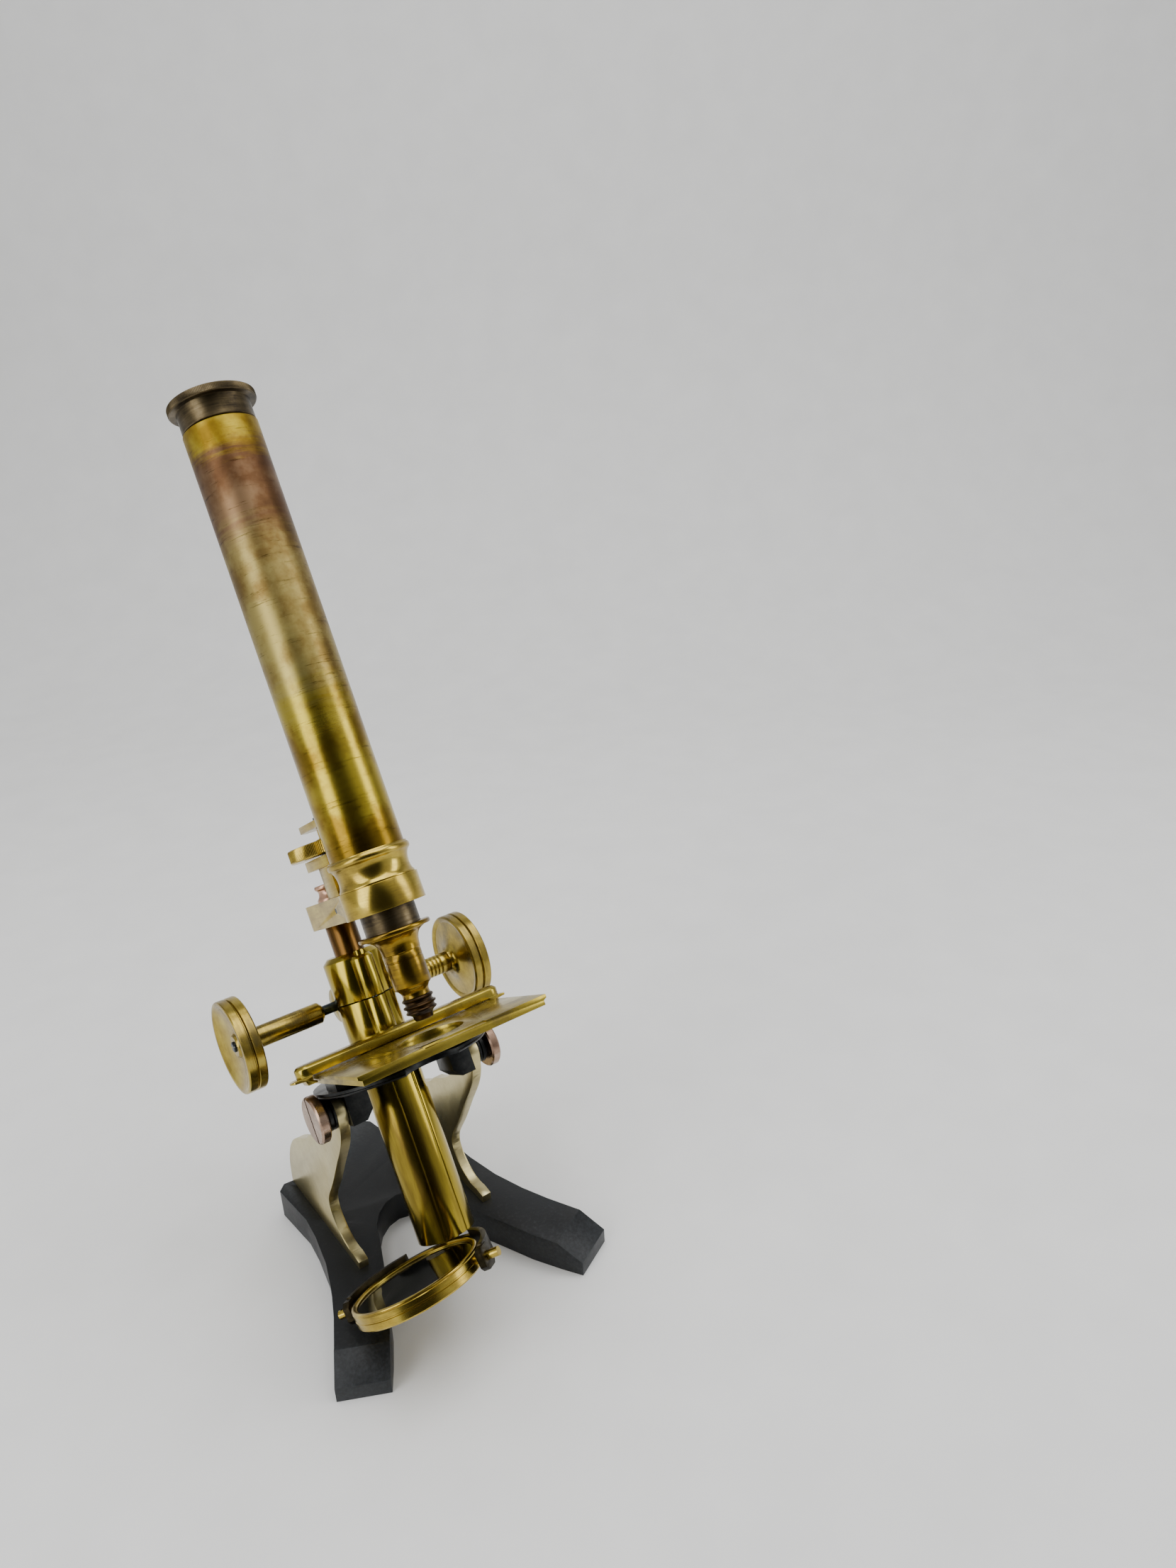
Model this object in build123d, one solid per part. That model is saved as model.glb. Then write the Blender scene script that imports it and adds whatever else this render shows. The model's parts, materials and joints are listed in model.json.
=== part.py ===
"""Brass bar-limb compound microscope on a black iron foot, built as separate named pieces.

The optical half is modelled upright in a limb frame: x to the right, y to the rear, z up the
tube, with its origin on the trunnion axis.  placed() then leans it back and lifts it onto the
foot.  The foot and the uprights are modelled directly in the world frame.
"""

import math
import os

from build123d import *

# --- world frame: origin on the underside of the foot's rear web, z up, y to the rear -------
TRUNNION_Y = -45.0
TRUNNION_Z = 108.7
INCLINE_DEG = 29.3

# --- foot and uprights ----------------------------------------------------------------------
FOOT_TOP = 16.5
TOE_LIP = 8.0
UPRIGHT_IN = 33.0
UPRIGHT_OUT = 38.0
TRUNNION_R = 5.0

# --- limb frame positions -------------------------------------------------------------------
OPTIC_Y = -51.0
PILLAR_Y = 14.3
PINION_Y = 27.3
PINION_Z = 42.5
FINE_Y = -8.0

# --- limb -----------------------------------------------------------------------------------
CRADLE_R = 42.8
CRADLE_Y = -2.0
CRADLE_Z0 = 8.0
CRADLE_Z1 = 10.5
PILLAR_R = 14.25
STEM_R = 7.4
RUN = 0.05
SPLIT = 0.35
TAIL_BOTTOM = -78.4
STAGE_Z0 = 17.5
STAGE_Z1 = 22.0
STAGE_HALF = 46.0
STAGE_FRONT = -79.0
STAGE_REAR = 8.0
APERTURE_R = 15.4

# --- rack and pinion ------------------------------------------------------------------------
MODULE = 0.8
TEETH = 12
PITCH_R = MODULE * TEETH / 2
RACK_PITCH_Y = PINION_Y - PITCH_R
RACK_HALF = 2.5

# --- arm, tube and objective ----------------------------------------------------------------
ARM_Z0 = 80.7
ARM_Z1 = 93.0
ARM_HALF = 13.0
ARM_RING_R = 18.15
TUBE_R = 17.0
TUBE_BORE = 15.9
TUBE_FOOT = 104.0
TUBE_TOP = 306.8
NOSE_R = 12.55
LEVER_Y = -24.0
LEVER_Z = 87.0

# --- mirror ---------------------------------------------------------------------------------
MIRROR_R = 31.0
MIRROR_Z = -83.9
MIRROR_REACH = 42.1
MIRROR_SWIVEL_DEG = 46.0
MIRROR_ROLL_DEG = 7.0


# --- small helpers --------------------------------------------------------------------------
def rod(r, z0, z1, x=0.0, y=0.0):
    """Upright cylinder of radius r between two heights."""
    return Pos(x, y, (z0 + z1) / 2) * Cylinder(r, z1 - z0)


def pipe(r_out, r_in, z0, z1, x=0.0, y=0.0):
    """Upright tube."""
    return rod(r_out, z0, z1, x, y) - rod(r_in, z0 - 1, z1 + 1, x, y)


def xrod(r, x0, x1, y, z):
    """Cylinder lying along x."""
    return Pos((x0 + x1) / 2, y, z) * Rot(0, 90, 0) * Cylinder(r, x1 - x0)


def block(x0, x1, y0, y1, z0, z1):
    """Box given by its limits."""
    return Pos((x0 + x1) / 2, (y0 + y1) / 2, (z0 + z1) / 2) * Box(x1 - x0, y1 - y0, z1 - z0)


def turned(points, x=0.0, y=0.0):
    """Solid turned about the z axis from (radius, height) points."""
    face = make_face(Plane.XZ * Polyline(*points, close=True))
    return Pos(x, y, 0) * revolve(face, Axis.Z)


def xturned(points, y, z):
    """Solid turned about the x axis from (radius, x) points."""
    return Pos(0, y, z) * Rot(0, 90, 0) * turned(points)


def prism_x(points, x0, x1):
    """Solid with a (y, z) outline, running from x0 to x1."""
    face = make_face(Plane.YZ * Polyline(*points, close=True))
    return Pos(x0, 0, 0) * extrude(face, x1 - x0, dir=(1, 0, 0))


def prism_y(points, y0, y1):
    """Solid with an (x, z) outline, running from y0 to y1."""
    face = make_face(Plane.XZ * Polyline(*points, close=True))
    return Pos(0, y0, 0) * extrude(face, y1 - y0, dir=(0, 1, 0))


def mirrored(shape):
    """Reflection to the other side of the centre plane."""
    return mirror(shape, about=Plane.YZ)


def placed(shape):
    """Limb frame to world frame."""
    return Pos(0, TRUNNION_Y, TRUNNION_Z) * Rot(-INCLINE_DEG, 0, 0) * shape


def mirror_placed(shape, roll=True):
    """Mirror frame (x along the pins, y towards the tail, centre at the origin) to limb frame."""
    a = math.radians(MIRROR_SWIVEL_DEG)
    cx = -MIRROR_REACH * math.sin(a)
    cy = PILLAR_Y - MIRROR_REACH * math.cos(a)
    turn = Rot(0, -MIRROR_ROLL_DEG, 0) if roll else Rot(0, 0, 0)
    return Pos(cx, cy, MIRROR_Z) * Rot(0, 0, -MIRROR_SWIVEL_DEG) * turn * shape


def save(name, shape):
    """Write one node, as a single solid where it is one."""
    solids = shape.solids()
    body = solids[0] if len(solids) == 1 else Compound(children=list(solids))
    export_step(body, f"parts/{name}.step")


# --- foot -----------------------------------------------------------------------------------
def foot():
    """Iron foot: two splayed front legs with sloped toes, shoulders and one rear toe."""
    half = [
        (12, 98), (17, 93), (18.5, 84), (24, 77), (33, 75.5), (43, 76.5), (47, 72.5), (46, 60),
        (44.7, 44), (46, 30), (49.5, 10), (55, -8), (61, -23), (68.5, -39), (75.6, -51.8),
    ]
    inner = [(53.4, -63.2), (47.4, -53), (40, -39), (33, -22), (26.6, -7)]
    arch = [(20.5, 9), (17.8, 17), (12.8, 24), (6.5, 28.6), (0, 30.2)]
    left = [(-x, y) for x, y in half]
    ring = half + inner + arch + [(-x, y) for x, y in reversed(inner + arch[:-1])] + left[::-1]
    body = extrude(make_face(Polyline(*ring, close=True)), FOOT_TOP)
    wedge = prism_x([(0, TOE_LIP), (13.5, FOOT_TOP), (13.5, 30), (-6, 30), (-6, TOE_LIP)], -30, 30)
    angle = math.degrees(math.atan2(-63.2 + 51.8, 53.4 - 75.6))
    toe = Pos((75.6 + 53.4) / 2, (-51.8 - 63.2) / 2, 0) * Rot(0, 0, angle + 180) * wedge
    body = body - toe - mirrored(toe)
    for x, y in upright_screw_points():
        for side in (-1, 1):
            body = body - rod(1.65, -1, FOOT_TOP + 1, side * x, y) - rod(3.3, -1, 3.2, side * x, y)
    return Pos(0, -45, 0) * body


def upright_screw_points():
    """Plan positions of the screws that hold each upright, before the frame shift."""
    mid = (UPRIGHT_IN + UPRIGHT_OUT) / 2
    return [(mid, 38.0), (mid, 66.0)]


def upright():
    """Right-hand upright plate with a round eye, a scalloped back and a waisted front."""
    eye_y, eye_z, eye_r = 0.0, TRUNNION_Z, 7.2
    front = Spline((-eye_r, eye_z), (-6.6, 98), (3, 78), (17.5, 52), (24, 37), (16, 25), (2, 21.5))
    toe = Polyline((2, 21.5), (-4, 20.5), (-4, FOOT_TOP), (76, FOOT_TOP))
    back = Spline((76, FOOT_TOP), (75, 30), (70.5, 42), (60, 55), (46, 64), (37, 72))
    scallop = Spline((37, 72), (25, 79), (14, 89), (7.5, 100), (eye_r, eye_z))
    top = ThreePointArc((eye_r, eye_z), (eye_y, eye_z + eye_r), (-eye_r, eye_z))
    outline = Plane.YZ * (front + toe + back + scallop + top)
    plate = Pos(UPRIGHT_IN, 0, 0) * extrude(make_face(outline), UPRIGHT_OUT - UPRIGHT_IN, dir=(1, 0, 0))
    plate = plate - xrod(TRUNNION_R + RUN, 20, 60, 0, TRUNNION_Z)
    for x, y in upright_screw_points():
        plate = plate - rod(1.5, FOOT_TOP - 1, FOOT_TOP + 9, x, y)
    return Pos(0, -45, 0) * plate


def upright_screws():
    """Countersunk screws driven up through the foot."""
    one = turned([(0, 0.2), (3.2, 0.2), (3.2, 3.2), (1.5, 3.2), (1.5, FOOT_TOP + 8), (0, FOOT_TOP + 8)])
    one = one - block(-4, 4, -0.4, 0.4, -1, 1.2)
    pts = [(s * x, y - 45) for x, y in upright_screw_points() for s in (-1, 1)]
    return Compound(children=[Pos(x, y, 0) * one for x, y in pts])


# --- trunnion -------------------------------------------------------------------------------
def trunnion_screws():
    """Two slotted screws that pass the uprights and thread into the cradle lugs."""
    pts = [(0, 24), (TRUNNION_R, 24), (TRUNNION_R, 43), (10.8, 43), (11.4, 43.8), (11.4, 47), (10.6, 47.8), (0, 47.8)]
    one = xturned(pts, 0, 0) - block(46, 49, -0.7, 0.7, -12, 12)
    return placed(Compound(children=[one, mirrored(one)]))


def trunnion_washers():
    """Two grooved friction collars on each side, between upright and screw head."""
    pts = [(5.05, 38.0), (7.2, 38.0), (7.6, 38.4), (7.6, 39.2), (6.9, 39.6), (7.6, 40.0), (7.6, 40.5), (5.05, 40.5)]
    outer = [(5.05, 40.5), (7.7, 40.5), (7.7, 41.6), (7.1, 42.1), (7.1, 42.95), (5.05, 42.95)]
    items = [xturned(pts, 0, 0), xturned(outer, 0, 0)]
    return placed(Compound(children=items + [mirrored(s) for s in items]))


# --- cradle and pillar ----------------------------------------------------------------------
def cradle():
    """Blackened round plate with two lugs that carry the trunnions and a notch for the light."""
    r = CRADLE_R
    plate = turned([(0, CRADLE_Z0), (r - 0.6, CRADLE_Z0), (r, CRADLE_Z0 + 0.6), (r, CRADLE_Z0 + 1.0),
                    (r - 0.8, CRADLE_Z0 + 1.2), (r - 0.8, CRADLE_Z1), (0, CRADLE_Z1)], 0, CRADLE_Y)
    lug = prism_y([(21.5, CRADLE_Z0), (21.5, -4.5), (25.5, -8.5), (32.7, -8.5), (32.7, CRADLE_Z0)], -8.5, 8.5)
    lug = lug - xrod(TRUNNION_R, 24, 40, 0, 0)
    body = plate + lug + mirrored(lug)
    body = body - rod(9.45, 0, 20, 0, PILLAR_Y) - rod(APERTURE_R + 0.6, 0, 20, 0, OPTIC_Y)
    for x, y in stage_screw_points():
        body = body - rod(1.5, 0, 20, x, y)
    return placed(body)


def pillar_section(z0, z1):
    """Plan section of the pillar: round column with a half-round rib on its front."""
    return rod(PILLAR_R, z0, z1, 0, PILLAR_Y) + rod(5.6, z0, z1, 0, 1.6)


def pillar_bores(shape):
    """Stem bore, rack slot, pinion pocket and shaft bores."""
    shape = shape - rod(STEM_R + RUN, -20, 80, 0, PILLAR_Y)
    shape = shape - block(-2.9, 2.9, PILLAR_Y, PILLAR_Y + 9.4, -20, 80)
    shape = shape - xrod(6.2, -4.3, 4.3, PINION_Y, PINION_Z)
    return shape - xrod(2.5 + RUN, -12, 12, PINION_Y, PINION_Z)


def pillar_lower():
    """Lower pillar block with the spigot that joins it to the tail tube."""
    body = pillar_section(CRADLE_Z1, PINION_Z - SPLIT)
    saddle = xrod(8.5, -10.8, 10.8, PINION_Y, PINION_Z)
    saddle = saddle & block(-20, 20, PILLAR_Y, 60, 20, PINION_Z - SPLIT)
    body = body + saddle + rod(9.4, -6, CRADLE_Z1, 0, PILLAR_Y)
    body = body - rod(1.6, CRADLE_Z1 - 30, PINION_Z, 0, 1.0) + rod(1.6, CRADLE_Z1, 30, 0, 1.0)
    body = pillar_bores(body)
    return placed(body)


def pillar_cap():
    """Upper bearing block, clamped over the pinion."""
    body = rod(PILLAR_R, PINION_Z + SPLIT, 63.2, 0, PILLAR_Y)
    body = body + turned([(0, 63.2), (PILLAR_R, 63.2), (PILLAR_R - 2.6, 65.6), (0, 65.6)], 0, PILLAR_Y)
    body = body + rod(5.6, PINION_Z + SPLIT, 62.0, 0, 1.6)
    body = body + turned([(0, 62.0), (5.6, 62.0), (4.4, 63.4), (0, 63.4)], 0, 1.6)
    saddle = xrod(8.5, -10.8, 10.8, PINION_Y, PINION_Z)
    saddle = saddle & block(-20, 20, PILLAR_Y, 60, PINION_Z + SPLIT, 60)
    body = pillar_bores(body + saddle)
    body = body - rod(1.6, 30, 58, 0, 1.0) - rod(2.8, 58, 70, 0, 1.0)
    return placed(body)


def pillar_screw():
    """Long screw down the front rib that draws the bearing block onto the pillar."""
    one = turned([(0, 30.05), (1.55, 30.05), (1.55, 58.05), (2.7, 58.05), (2.7, 61.6), (0, 61.6)], 0, 1.0)
    return placed(one - block(-3, 3, 0.6, 1.4, 60.7, 62))


def tail_tube():
    """Tail tube below the cradle, with a scribed seam along its front."""
    body = pipe(PILLAR_R, 9.45, TAIL_BOTTOM, CRADLE_Z0 - 0.05, 0, PILLAR_Y)
    for deg in (-22, 22):
        a = math.radians(deg)
        body = body - rod(0.45, TAIL_BOTTOM - 1, CRADLE_Z0, PILLAR_R * math.sin(a), PILLAR_Y - PILLAR_R * math.cos(a))
    return placed(body)


def tail_plug():
    """Plug in the foot of the tail tube, with the pivot for the mirror arm."""
    z = TAIL_BOTTOM
    pts = [(0, z + 8), (9.4, z + 8), (9.4, z), (2.5, z), (2.5, z - 9.6), (0, z - 9.6)]
    return placed(turned(pts, 0, PILLAR_Y))


# --- stage ----------------------------------------------------------------------------------
def stage_screw_points():
    """Plan positions of the screws that hold the stage to the cradle."""
    return [(-20.0, -6.0), (20.0, -6.0), (-32.0, -12.0), (32.0, -12.0)]


def stage_plate():
    """Rectangular stage with a round aperture, dovetail sides and a cut-out for the pillar."""
    h, z0, z1 = STAGE_HALF, STAGE_Z0, STAGE_Z1
    section = [(-h, z1), (h, z1), (h, z1 - 1.6), (h - 1.6, z1 - 2.4), (h - 1.6, z0), (-h + 1.6, z0),
               (-h + 1.6, z1 - 2.4), (-h, z1 - 1.6)]
    body = prism_y(section, STAGE_FRONT, STAGE_REAR)
    body = body - rod(APERTURE_R, 10, 30, 0, OPTIC_Y)
    body = body - rod(PILLAR_R + 0.2, 10, 30, 0, PILLAR_Y) - rod(5.8, 10, 30, 0, 1.6)
    body = body - block(-15, 15, STAGE_FRONT - 1, STAGE_FRONT + 3.0, z1 - 0.8, z1 + 1)
    for x, y in stage_screw_points():
        body = body - rod(1.5, 10, z1 - 2.0, x, y) - rod(2.7, z1 - 2.0, z1 + 1, x, y)
    return placed(body)


def stage_pillars():
    """Two blocks that hold the stage above the cradle."""
    one = block(15.5, 37, -16.5, -1.5, CRADLE_Z1, STAGE_Z0)
    one = one - rod(1.5, 0, 30, 20, -6) - rod(1.5, 0, 30, 32, -12)
    return placed(Compound(children=[one, mirrored(one)]))


def stage_screws():
    """Four slotted screws, flush in the stage."""
    one = turned([(0, CRADLE_Z0 + 0.3), (1.45, CRADLE_Z0 + 0.3), (1.45, STAGE_Z1 - 2.0), (2.6, STAGE_Z1 - 2.0),
                  (2.6, STAGE_Z1 - 0.1), (0, STAGE_Z1 - 0.1)])
    one = one - block(-3, 3, -0.35, 0.35, STAGE_Z1 - 0.8, STAGE_Z1 + 1)
    return placed(Compound(children=[Pos(x, y, 0) * one for x, y in stage_screw_points()]))


def slide_bar():
    """Sliding ledge that the specimen slide rests against."""
    z0 = STAGE_Z1 + 0.3
    body = block(-47.5, 47.5, -22, -12, z0, z0 + 5.0)
    body = body + rod(5, z0, z0 + 5.0, -47.5, -17) + rod(5, z0, z0 + 5.0, 47.5, -17)
    body = chamfer(body.faces().sort_by(Axis.Z)[-1].edges(), 1.2)
    for x in (-47.8, 47.8):
        body = body - rod(0.9, z0 - 1, z0 + 3.6, x, -17)
    return placed(body)


def bar_clips():
    """Jaws under each end of the bar that run in the dovetail of the stage."""
    z0 = STAGE_Z1 + 0.3
    section = [(46.4, z0), (52.5, z0), (56.0, 21.9), (56.0, 21.2), (50.0, 20.6), (49.2, 18.4), (44.8, 18.4), (44.8, 19.2),
               (46.4, 20.0)]
    one = prism_y(section, -20.5, -13.5) & (block(40, 51, -21, -13, 10, 30) + rod(5, 10, 30, 51.0, -17))
    one = one - rod(0.9, 10, 40, 47.8, -17) - rod(1.25, 10, 19.8, 47.8, -17)
    return placed(Compound(children=[one, mirrored(one)]))


def bar_screws():
    """Small screws that hold the jaws to the bar."""
    one = turned([(0, 18.5), (1.2, 18.5), (1.2, 19.8), (0.85, 19.8), (0.85, 25.6), (0, 25.6)], 47.8, -17)
    return placed(Compound(children=[one, mirrored(one)]))


# --- stem, arm and tube ---------------------------------------------------------------------
def stem():
    """Racked stem with a threaded top that passes the arm."""
    body = turned([(0, -40), (STEM_R - 0.6, -40), (STEM_R, -39.4), (STEM_R, ARM_Z0 - 0.0), (4.0, ARM_Z0), (4.0, 98),
                   (0, 98)], 0, PILLAR_Y)
    body = body - block(-RACK_HALF, RACK_HALF, PILLAR_Y + 5.0, PILLAR_Y + 9, -8, 64)
    return placed(body)


def rack():
    """Straight rack let into the back of the stem."""
    pitch = math.pi * MODULE
    tip, root = RACK_PITCH_Y + 0.5, RACK_PITCH_Y - 0.85
    slope = math.tan(math.radians(20))
    half = pitch / 4 - 0.06
    pts = [(PILLAR_Y + 5.0, -8.0), (root, -8.0)]
    for k in range(-19, 8):
        z = PINION_Z + k * pitch
        pts += [(root, z - half - 0.85 * slope), (tip, z - half + 0.5 * slope)]
        pts += [(tip, z + half - 0.5 * slope), (root, z + half + 0.85 * slope)]
    pts += [(root, 64.0), (PILLAR_Y + 5.0, 64.0)]
    return placed(prism_x(pts, -RACK_HALF, RACK_HALF))


def arm():
    """Flat bar from the stem to the ring that carries the tube, slotted for the lever."""
    body = block(-ARM_HALF, ARM_HALF, OPTIC_Y, PILLAR_Y, ARM_Z0, ARM_Z1)
    body = body + rod(ARM_HALF, ARM_Z0, ARM_Z1, 0, PILLAR_Y) + rod(ARM_RING_R, ARM_Z0, ARM_Z1, 0, OPTIC_Y)
    body = body - rod(NOSE_R + RUN, 60, 120, 0, OPTIC_Y) - rod(4.02, 60, 120, 0, PILLAR_Y)
    body = body - block(-3.2, 3.2, -42, -3, 84.0, 90.0)
    body = body - rod(2.1, 88, 120, 0, FINE_Y)
    body = body - xrod(1.2, -20, 10, LEVER_Y, LEVER_Z)
    return placed(body)


def arm_nut():
    """Turned nut on top of the stem."""
    pts = [(4.02, 93), (6.6, 93), (6.6, 94.2), (6.0, 95.0), (5.2, 96.2), (5.0, 97.6), (5.3, 98.6), (6.2, 99.2),
           (6.2, 100.6), (5.6, 101.0), (0, 101.0), (0, 98.1), (4.02, 98.1)]
    body = turned(pts, 0, PILLAR_Y)
    return placed(body - block(-7, 7, PILLAR_Y - 0.5, PILLAR_Y + 0.5, 99.8, 102))


def tube_collar():
    """Turned collar between the arm ring and the body tube."""
    pts = [(13.4, 93), (17.3, 93), (17.3, 93.9), (16.9, 94.3), (16.45, 95.4), (16.2, 97.2), (16.3, 99.4), (16.8, 101.6),
           (17.5, 103.0), (18.0, 103.6), (18.5, 104.0), (18.8, 105.2), (18.5, 106.8), (17.9, 107.4), (17.05, 107.4),
           (17.05, TUBE_FOOT), (14.4, TUBE_FOOT), (13.4, 97.0)]
    return placed(turned(pts, 0, OPTIC_Y))


def body_tube():
    """Main tube."""
    return placed(pipe(TUBE_R, TUBE_BORE, TUBE_FOOT, TUBE_TOP, 0, OPTIC_Y) - xrod(1.0, 0, 30, OPTIC_Y, 112))


def tube_screw():
    """Small grub screw in the side of the tube."""
    one = xrod(0.95, 15.0, 17.6, OPTIC_Y, 112)
    return placed(one)


def tube_lining():
    """Draw-tube bushing inside the top of the main tube."""
    return placed(pipe(TUBE_BORE - 0.02, 14.55, 266.0, TUBE_TOP - 0.3, 0, OPTIC_Y))


def focus_bracket():
    """Bracket behind the tube that holds the fine-focus screw."""
    spine = block(-10, 10, -36, -28.6, 107.9, 129.6)
    lower = block(-13, 13, -36, -1.5, 107.9, 112.8)
    upper = block(-10, 10, -36, 1.0, 126.2, 129.6)
    upper = chamfer(upper.edges().filter_by(Axis.Z).sort_by(Axis.Y)[-2:], 4.5)
    lower = chamfer(lower.edges().filter_by(Axis.Z).sort_by(Axis.Y)[-2:], 3.0)
    body = spine + lower + upper - rod(TUBE_R, 100, 140, 0, OPTIC_Y)
    body = body - rod(2.0 + RUN, 100, 140, 0, FINE_Y)
    for x in (-8.5, 8.5):
        body = body - rod(1.35, 100, 113.5, x, -24.0)
    return placed(body)


def bracket_screws():
    """Two screws that tie the bracket's lower plate to its post on the arm."""
    one = turned([(0, 93.2), (1.3, 93.2), (1.3, 112.85), (2.4, 112.85), (2.4, 113.3), (0, 113.3)])
    return placed(Compound(children=[Pos(x, -24.0, 0) * one for x in (-8.5, 8.5)]))


def bracket_post():
    """Post between the arm and the bracket."""
    body = block(-12, 12, -32.2, -17.5, 93, 107.9) - rod(18.9, 90, 110, 0, OPTIC_Y)
    for x in (-8.5, 8.5):
        body = body - rod(1.35, 90, 110, x, -24.0)
    return placed(body)


# --- fine focus -----------------------------------------------------------------------------
def fine_screw():
    """Steel screw that the wheel drives up and down, with its tip on the lever."""
    pts = [(0, 88.05), (0.8, 88.05), (2.0, 90.4), (2.0, 130.4), (3.4, 130.4), (3.4, 131.8), (2.6, 132.4), (0, 132.4)]
    return placed(turned(pts, 0, FINE_Y))


def fine_wheel():
    """Milled wheel of the fine focus, held between the plates of the bracket as the screw's nut."""
    pts = [(2.0 + RUN, 113.1), (4.6, 113.1), (4.6, 113.8), (18.9, 113.8), (19.5, 114.4), (19.5, 119.8), (18.9, 120.4),
           (15.5, 120.4), (14.5, 119.4), (6.0, 119.4), (5.0, 121.4), (3.4, 122.0), (3.4, 125.9), (2.0 + RUN, 125.9)]
    return placed(turned(pts, 0, FINE_Y))


def fine_lever():
    """Lever in the arm, from the screw to the nose tube."""
    body = block(-2.7, 2.7, -39.2, -5.0, 86.0, 88.0) + xrod(2.2, -2.7, 2.7, LEVER_Y, LEVER_Z)
    body = body - xrod(1.25, -5, 5, LEVER_Y, LEVER_Z)
    return placed(body)


def lever_pin():
    """Pivot pin of the lever, pressed into the arm."""
    return placed(xrod(1.2, -12.9, 9.9, LEVER_Y, LEVER_Z))


def nose_tube():
    """Sliding tube inside the arm ring, with a soldered collar for the spring and a notch for the lever."""
    body = pipe(NOSE_R, 10.6, 71.5, 124, 0, OPTIC_Y) + pipe(15.2, NOSE_R - 0.2, 116.5, 118.0, 0, OPTIC_Y)
    return placed(body - block(-3.2, 3.2, -39.8, -37, 85.8, 88.2))


def nose_spring():
    """Coil spring that presses the nose tube down onto the lever."""
    path = Helix(pitch=4.2, height=14.2, radius=14.0)
    wire = sweep(Plane(origin=path @ 0, z_dir=path % 0) * Circle(0.5), path=path, is_frenet=True)
    return placed(Pos(0, OPTIC_Y, 119.2) * wire)


def spring_ring():
    """Ring pressed into the main tube, above the spring."""
    return placed(pipe(TUBE_BORE - 0.02, 12.6, 134.0, 135.6, 0, OPTIC_Y))


# --- objective ------------------------------------------------------------------------------
def objective_mount():
    """Thin flange of the objective with the spigot that enters the nose tube."""
    pts = [(8.6, 69.4), (16.0, 69.4), (16.4, 69.9), (16.4, 70.8), (16.0, 71.4), (10.55, 71.4), (10.55, 78.0),
           (8.6, 78.0)]
    return placed(turned(pts, 0, OPTIC_Y))


def objective_body():
    """Trumpet-necked brass barrel."""
    pts = [(6.6, 69.3), (13.4, 69.3), (11.6, 68.6), (10.2, 67.2), (9.3, 65.2), (8.8, 62.6), (8.55, 60.4), (8.3, 60.2),
           (8.3, 45.4), (7.6, 44.4), (6.4, 43.2), (6.0, 41.6), (6.2, 40.2), (4.6, 40.2), (4.6, 58.0), (6.6, 58.0)]
    return placed(turned(pts, 0, OPTIC_Y))


def objective_cell():
    """Threaded front cell, oxidised brown."""
    pts = [(4.3, 40.1), (6.6, 40.1), (7.1, 39.5), (7.1, 38.9), (6.2, 38.3), (6.2, 37.3), (7.4, 36.7), (7.4, 36.0),
           (6.3, 35.4), (6.3, 34.6), (7.0, 34.0), (7.0, 33.4), (5.6, 32.6), (4.6, 31.8), (4.3, 29.6), (2.6, 29.6),
           (2.6, 32.2), (4.3, 33.0)]
    return placed(turned(pts, 0, OPTIC_Y))


def lens(r, z, thick, bulge, y=OPTIC_Y):
    """Biconvex lens on the optical axis."""
    ball = (r * r + bulge * bulge) / (2 * bulge)
    upper = Pos(0, 0, thick / 2 - ball) * Sphere(ball)
    lower = Pos(0, 0, ball - thick / 2) * Sphere(ball)
    return placed(Pos(0, y, z) * (Cylinder(r, thick) & upper & lower))


# --- eyepiece -------------------------------------------------------------------------------
def eyepiece_tube():
    """Sliding tube of the eyepiece."""
    return placed(pipe(14.5, 13.3, 275.0, 317.0, 0, OPTIC_Y))


def eyepiece_cap():
    """Milled cap with a dished eye opening."""
    pts = [(14.5, 307.4), (16.3, 307.4), (16.6, 307.7), (16.6, 317.0), (19.4, 317.0), (20.0, 317.6), (20.0, 320.0), (19.4, 320.6),
           (16.5, 320.6), (14.0, 320.0), (6.0, 319.2), (4.2, 318.2), (4.2, 317.0), (14.5, 317.0)]
    return placed(turned(pts, 0, OPTIC_Y))


def field_stop():
    """Diaphragm inside the eyepiece."""
    return placed(pipe(13.28, 7.0, 296.0, 297.2, 0, OPTIC_Y))


def lens_rings():
    """Retaining rings of the two eyepiece lenses."""
    items = [pipe(13.28, 11.0, z, z + 1.6, 0, OPTIC_Y) for z in (278.0, 310.4)]
    return placed(Compound(children=items))


# --- pinion and knobs -----------------------------------------------------------------------
def pinion_teeth():
    """Plan of the pinion with involute flanks, a tooth space facing the rack."""
    base = PITCH_R * math.cos(math.radians(20))
    tip, root = PITCH_R + 0.6, PITCH_R - 0.8
    inv = math.tan(math.radians(20)) - math.radians(20)
    half = (math.pi * MODULE / 2 - 0.12) / (2 * PITCH_R)
    pts = []
    for k in range(TEETH):
        mid = math.pi + (k + 0.5) * 2 * math.pi / TEETH
        flank = []
        for i in range(6):
            r = max(base, root) + (tip - max(base, root)) * i / 5
            roll = math.acos(min(1.0, base / r))
            flank.append((r, half + inv - (math.tan(roll) - roll)))
        pts.append((root, mid - flank[0][1]))
        pts += [(r, mid - a) for r, a in flank]
        pts += [(r, mid + a) for r, a in reversed(flank)]
        pts.append((root, mid + flank[0][1]))
    return [(r * math.cos(a), r * math.sin(a)) for r, a in pts]


def pinion():
    """Steel pinion shaft with the pinion cut in its middle."""
    gear = Pos(0, PINION_Y, PINION_Z) * prism_x(pinion_teeth(), -3.2, 3.2)
    shaft = xrod(2.5, -63.0, 63.0, PINION_Y, PINION_Z)
    return placed(gear + shaft)


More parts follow.
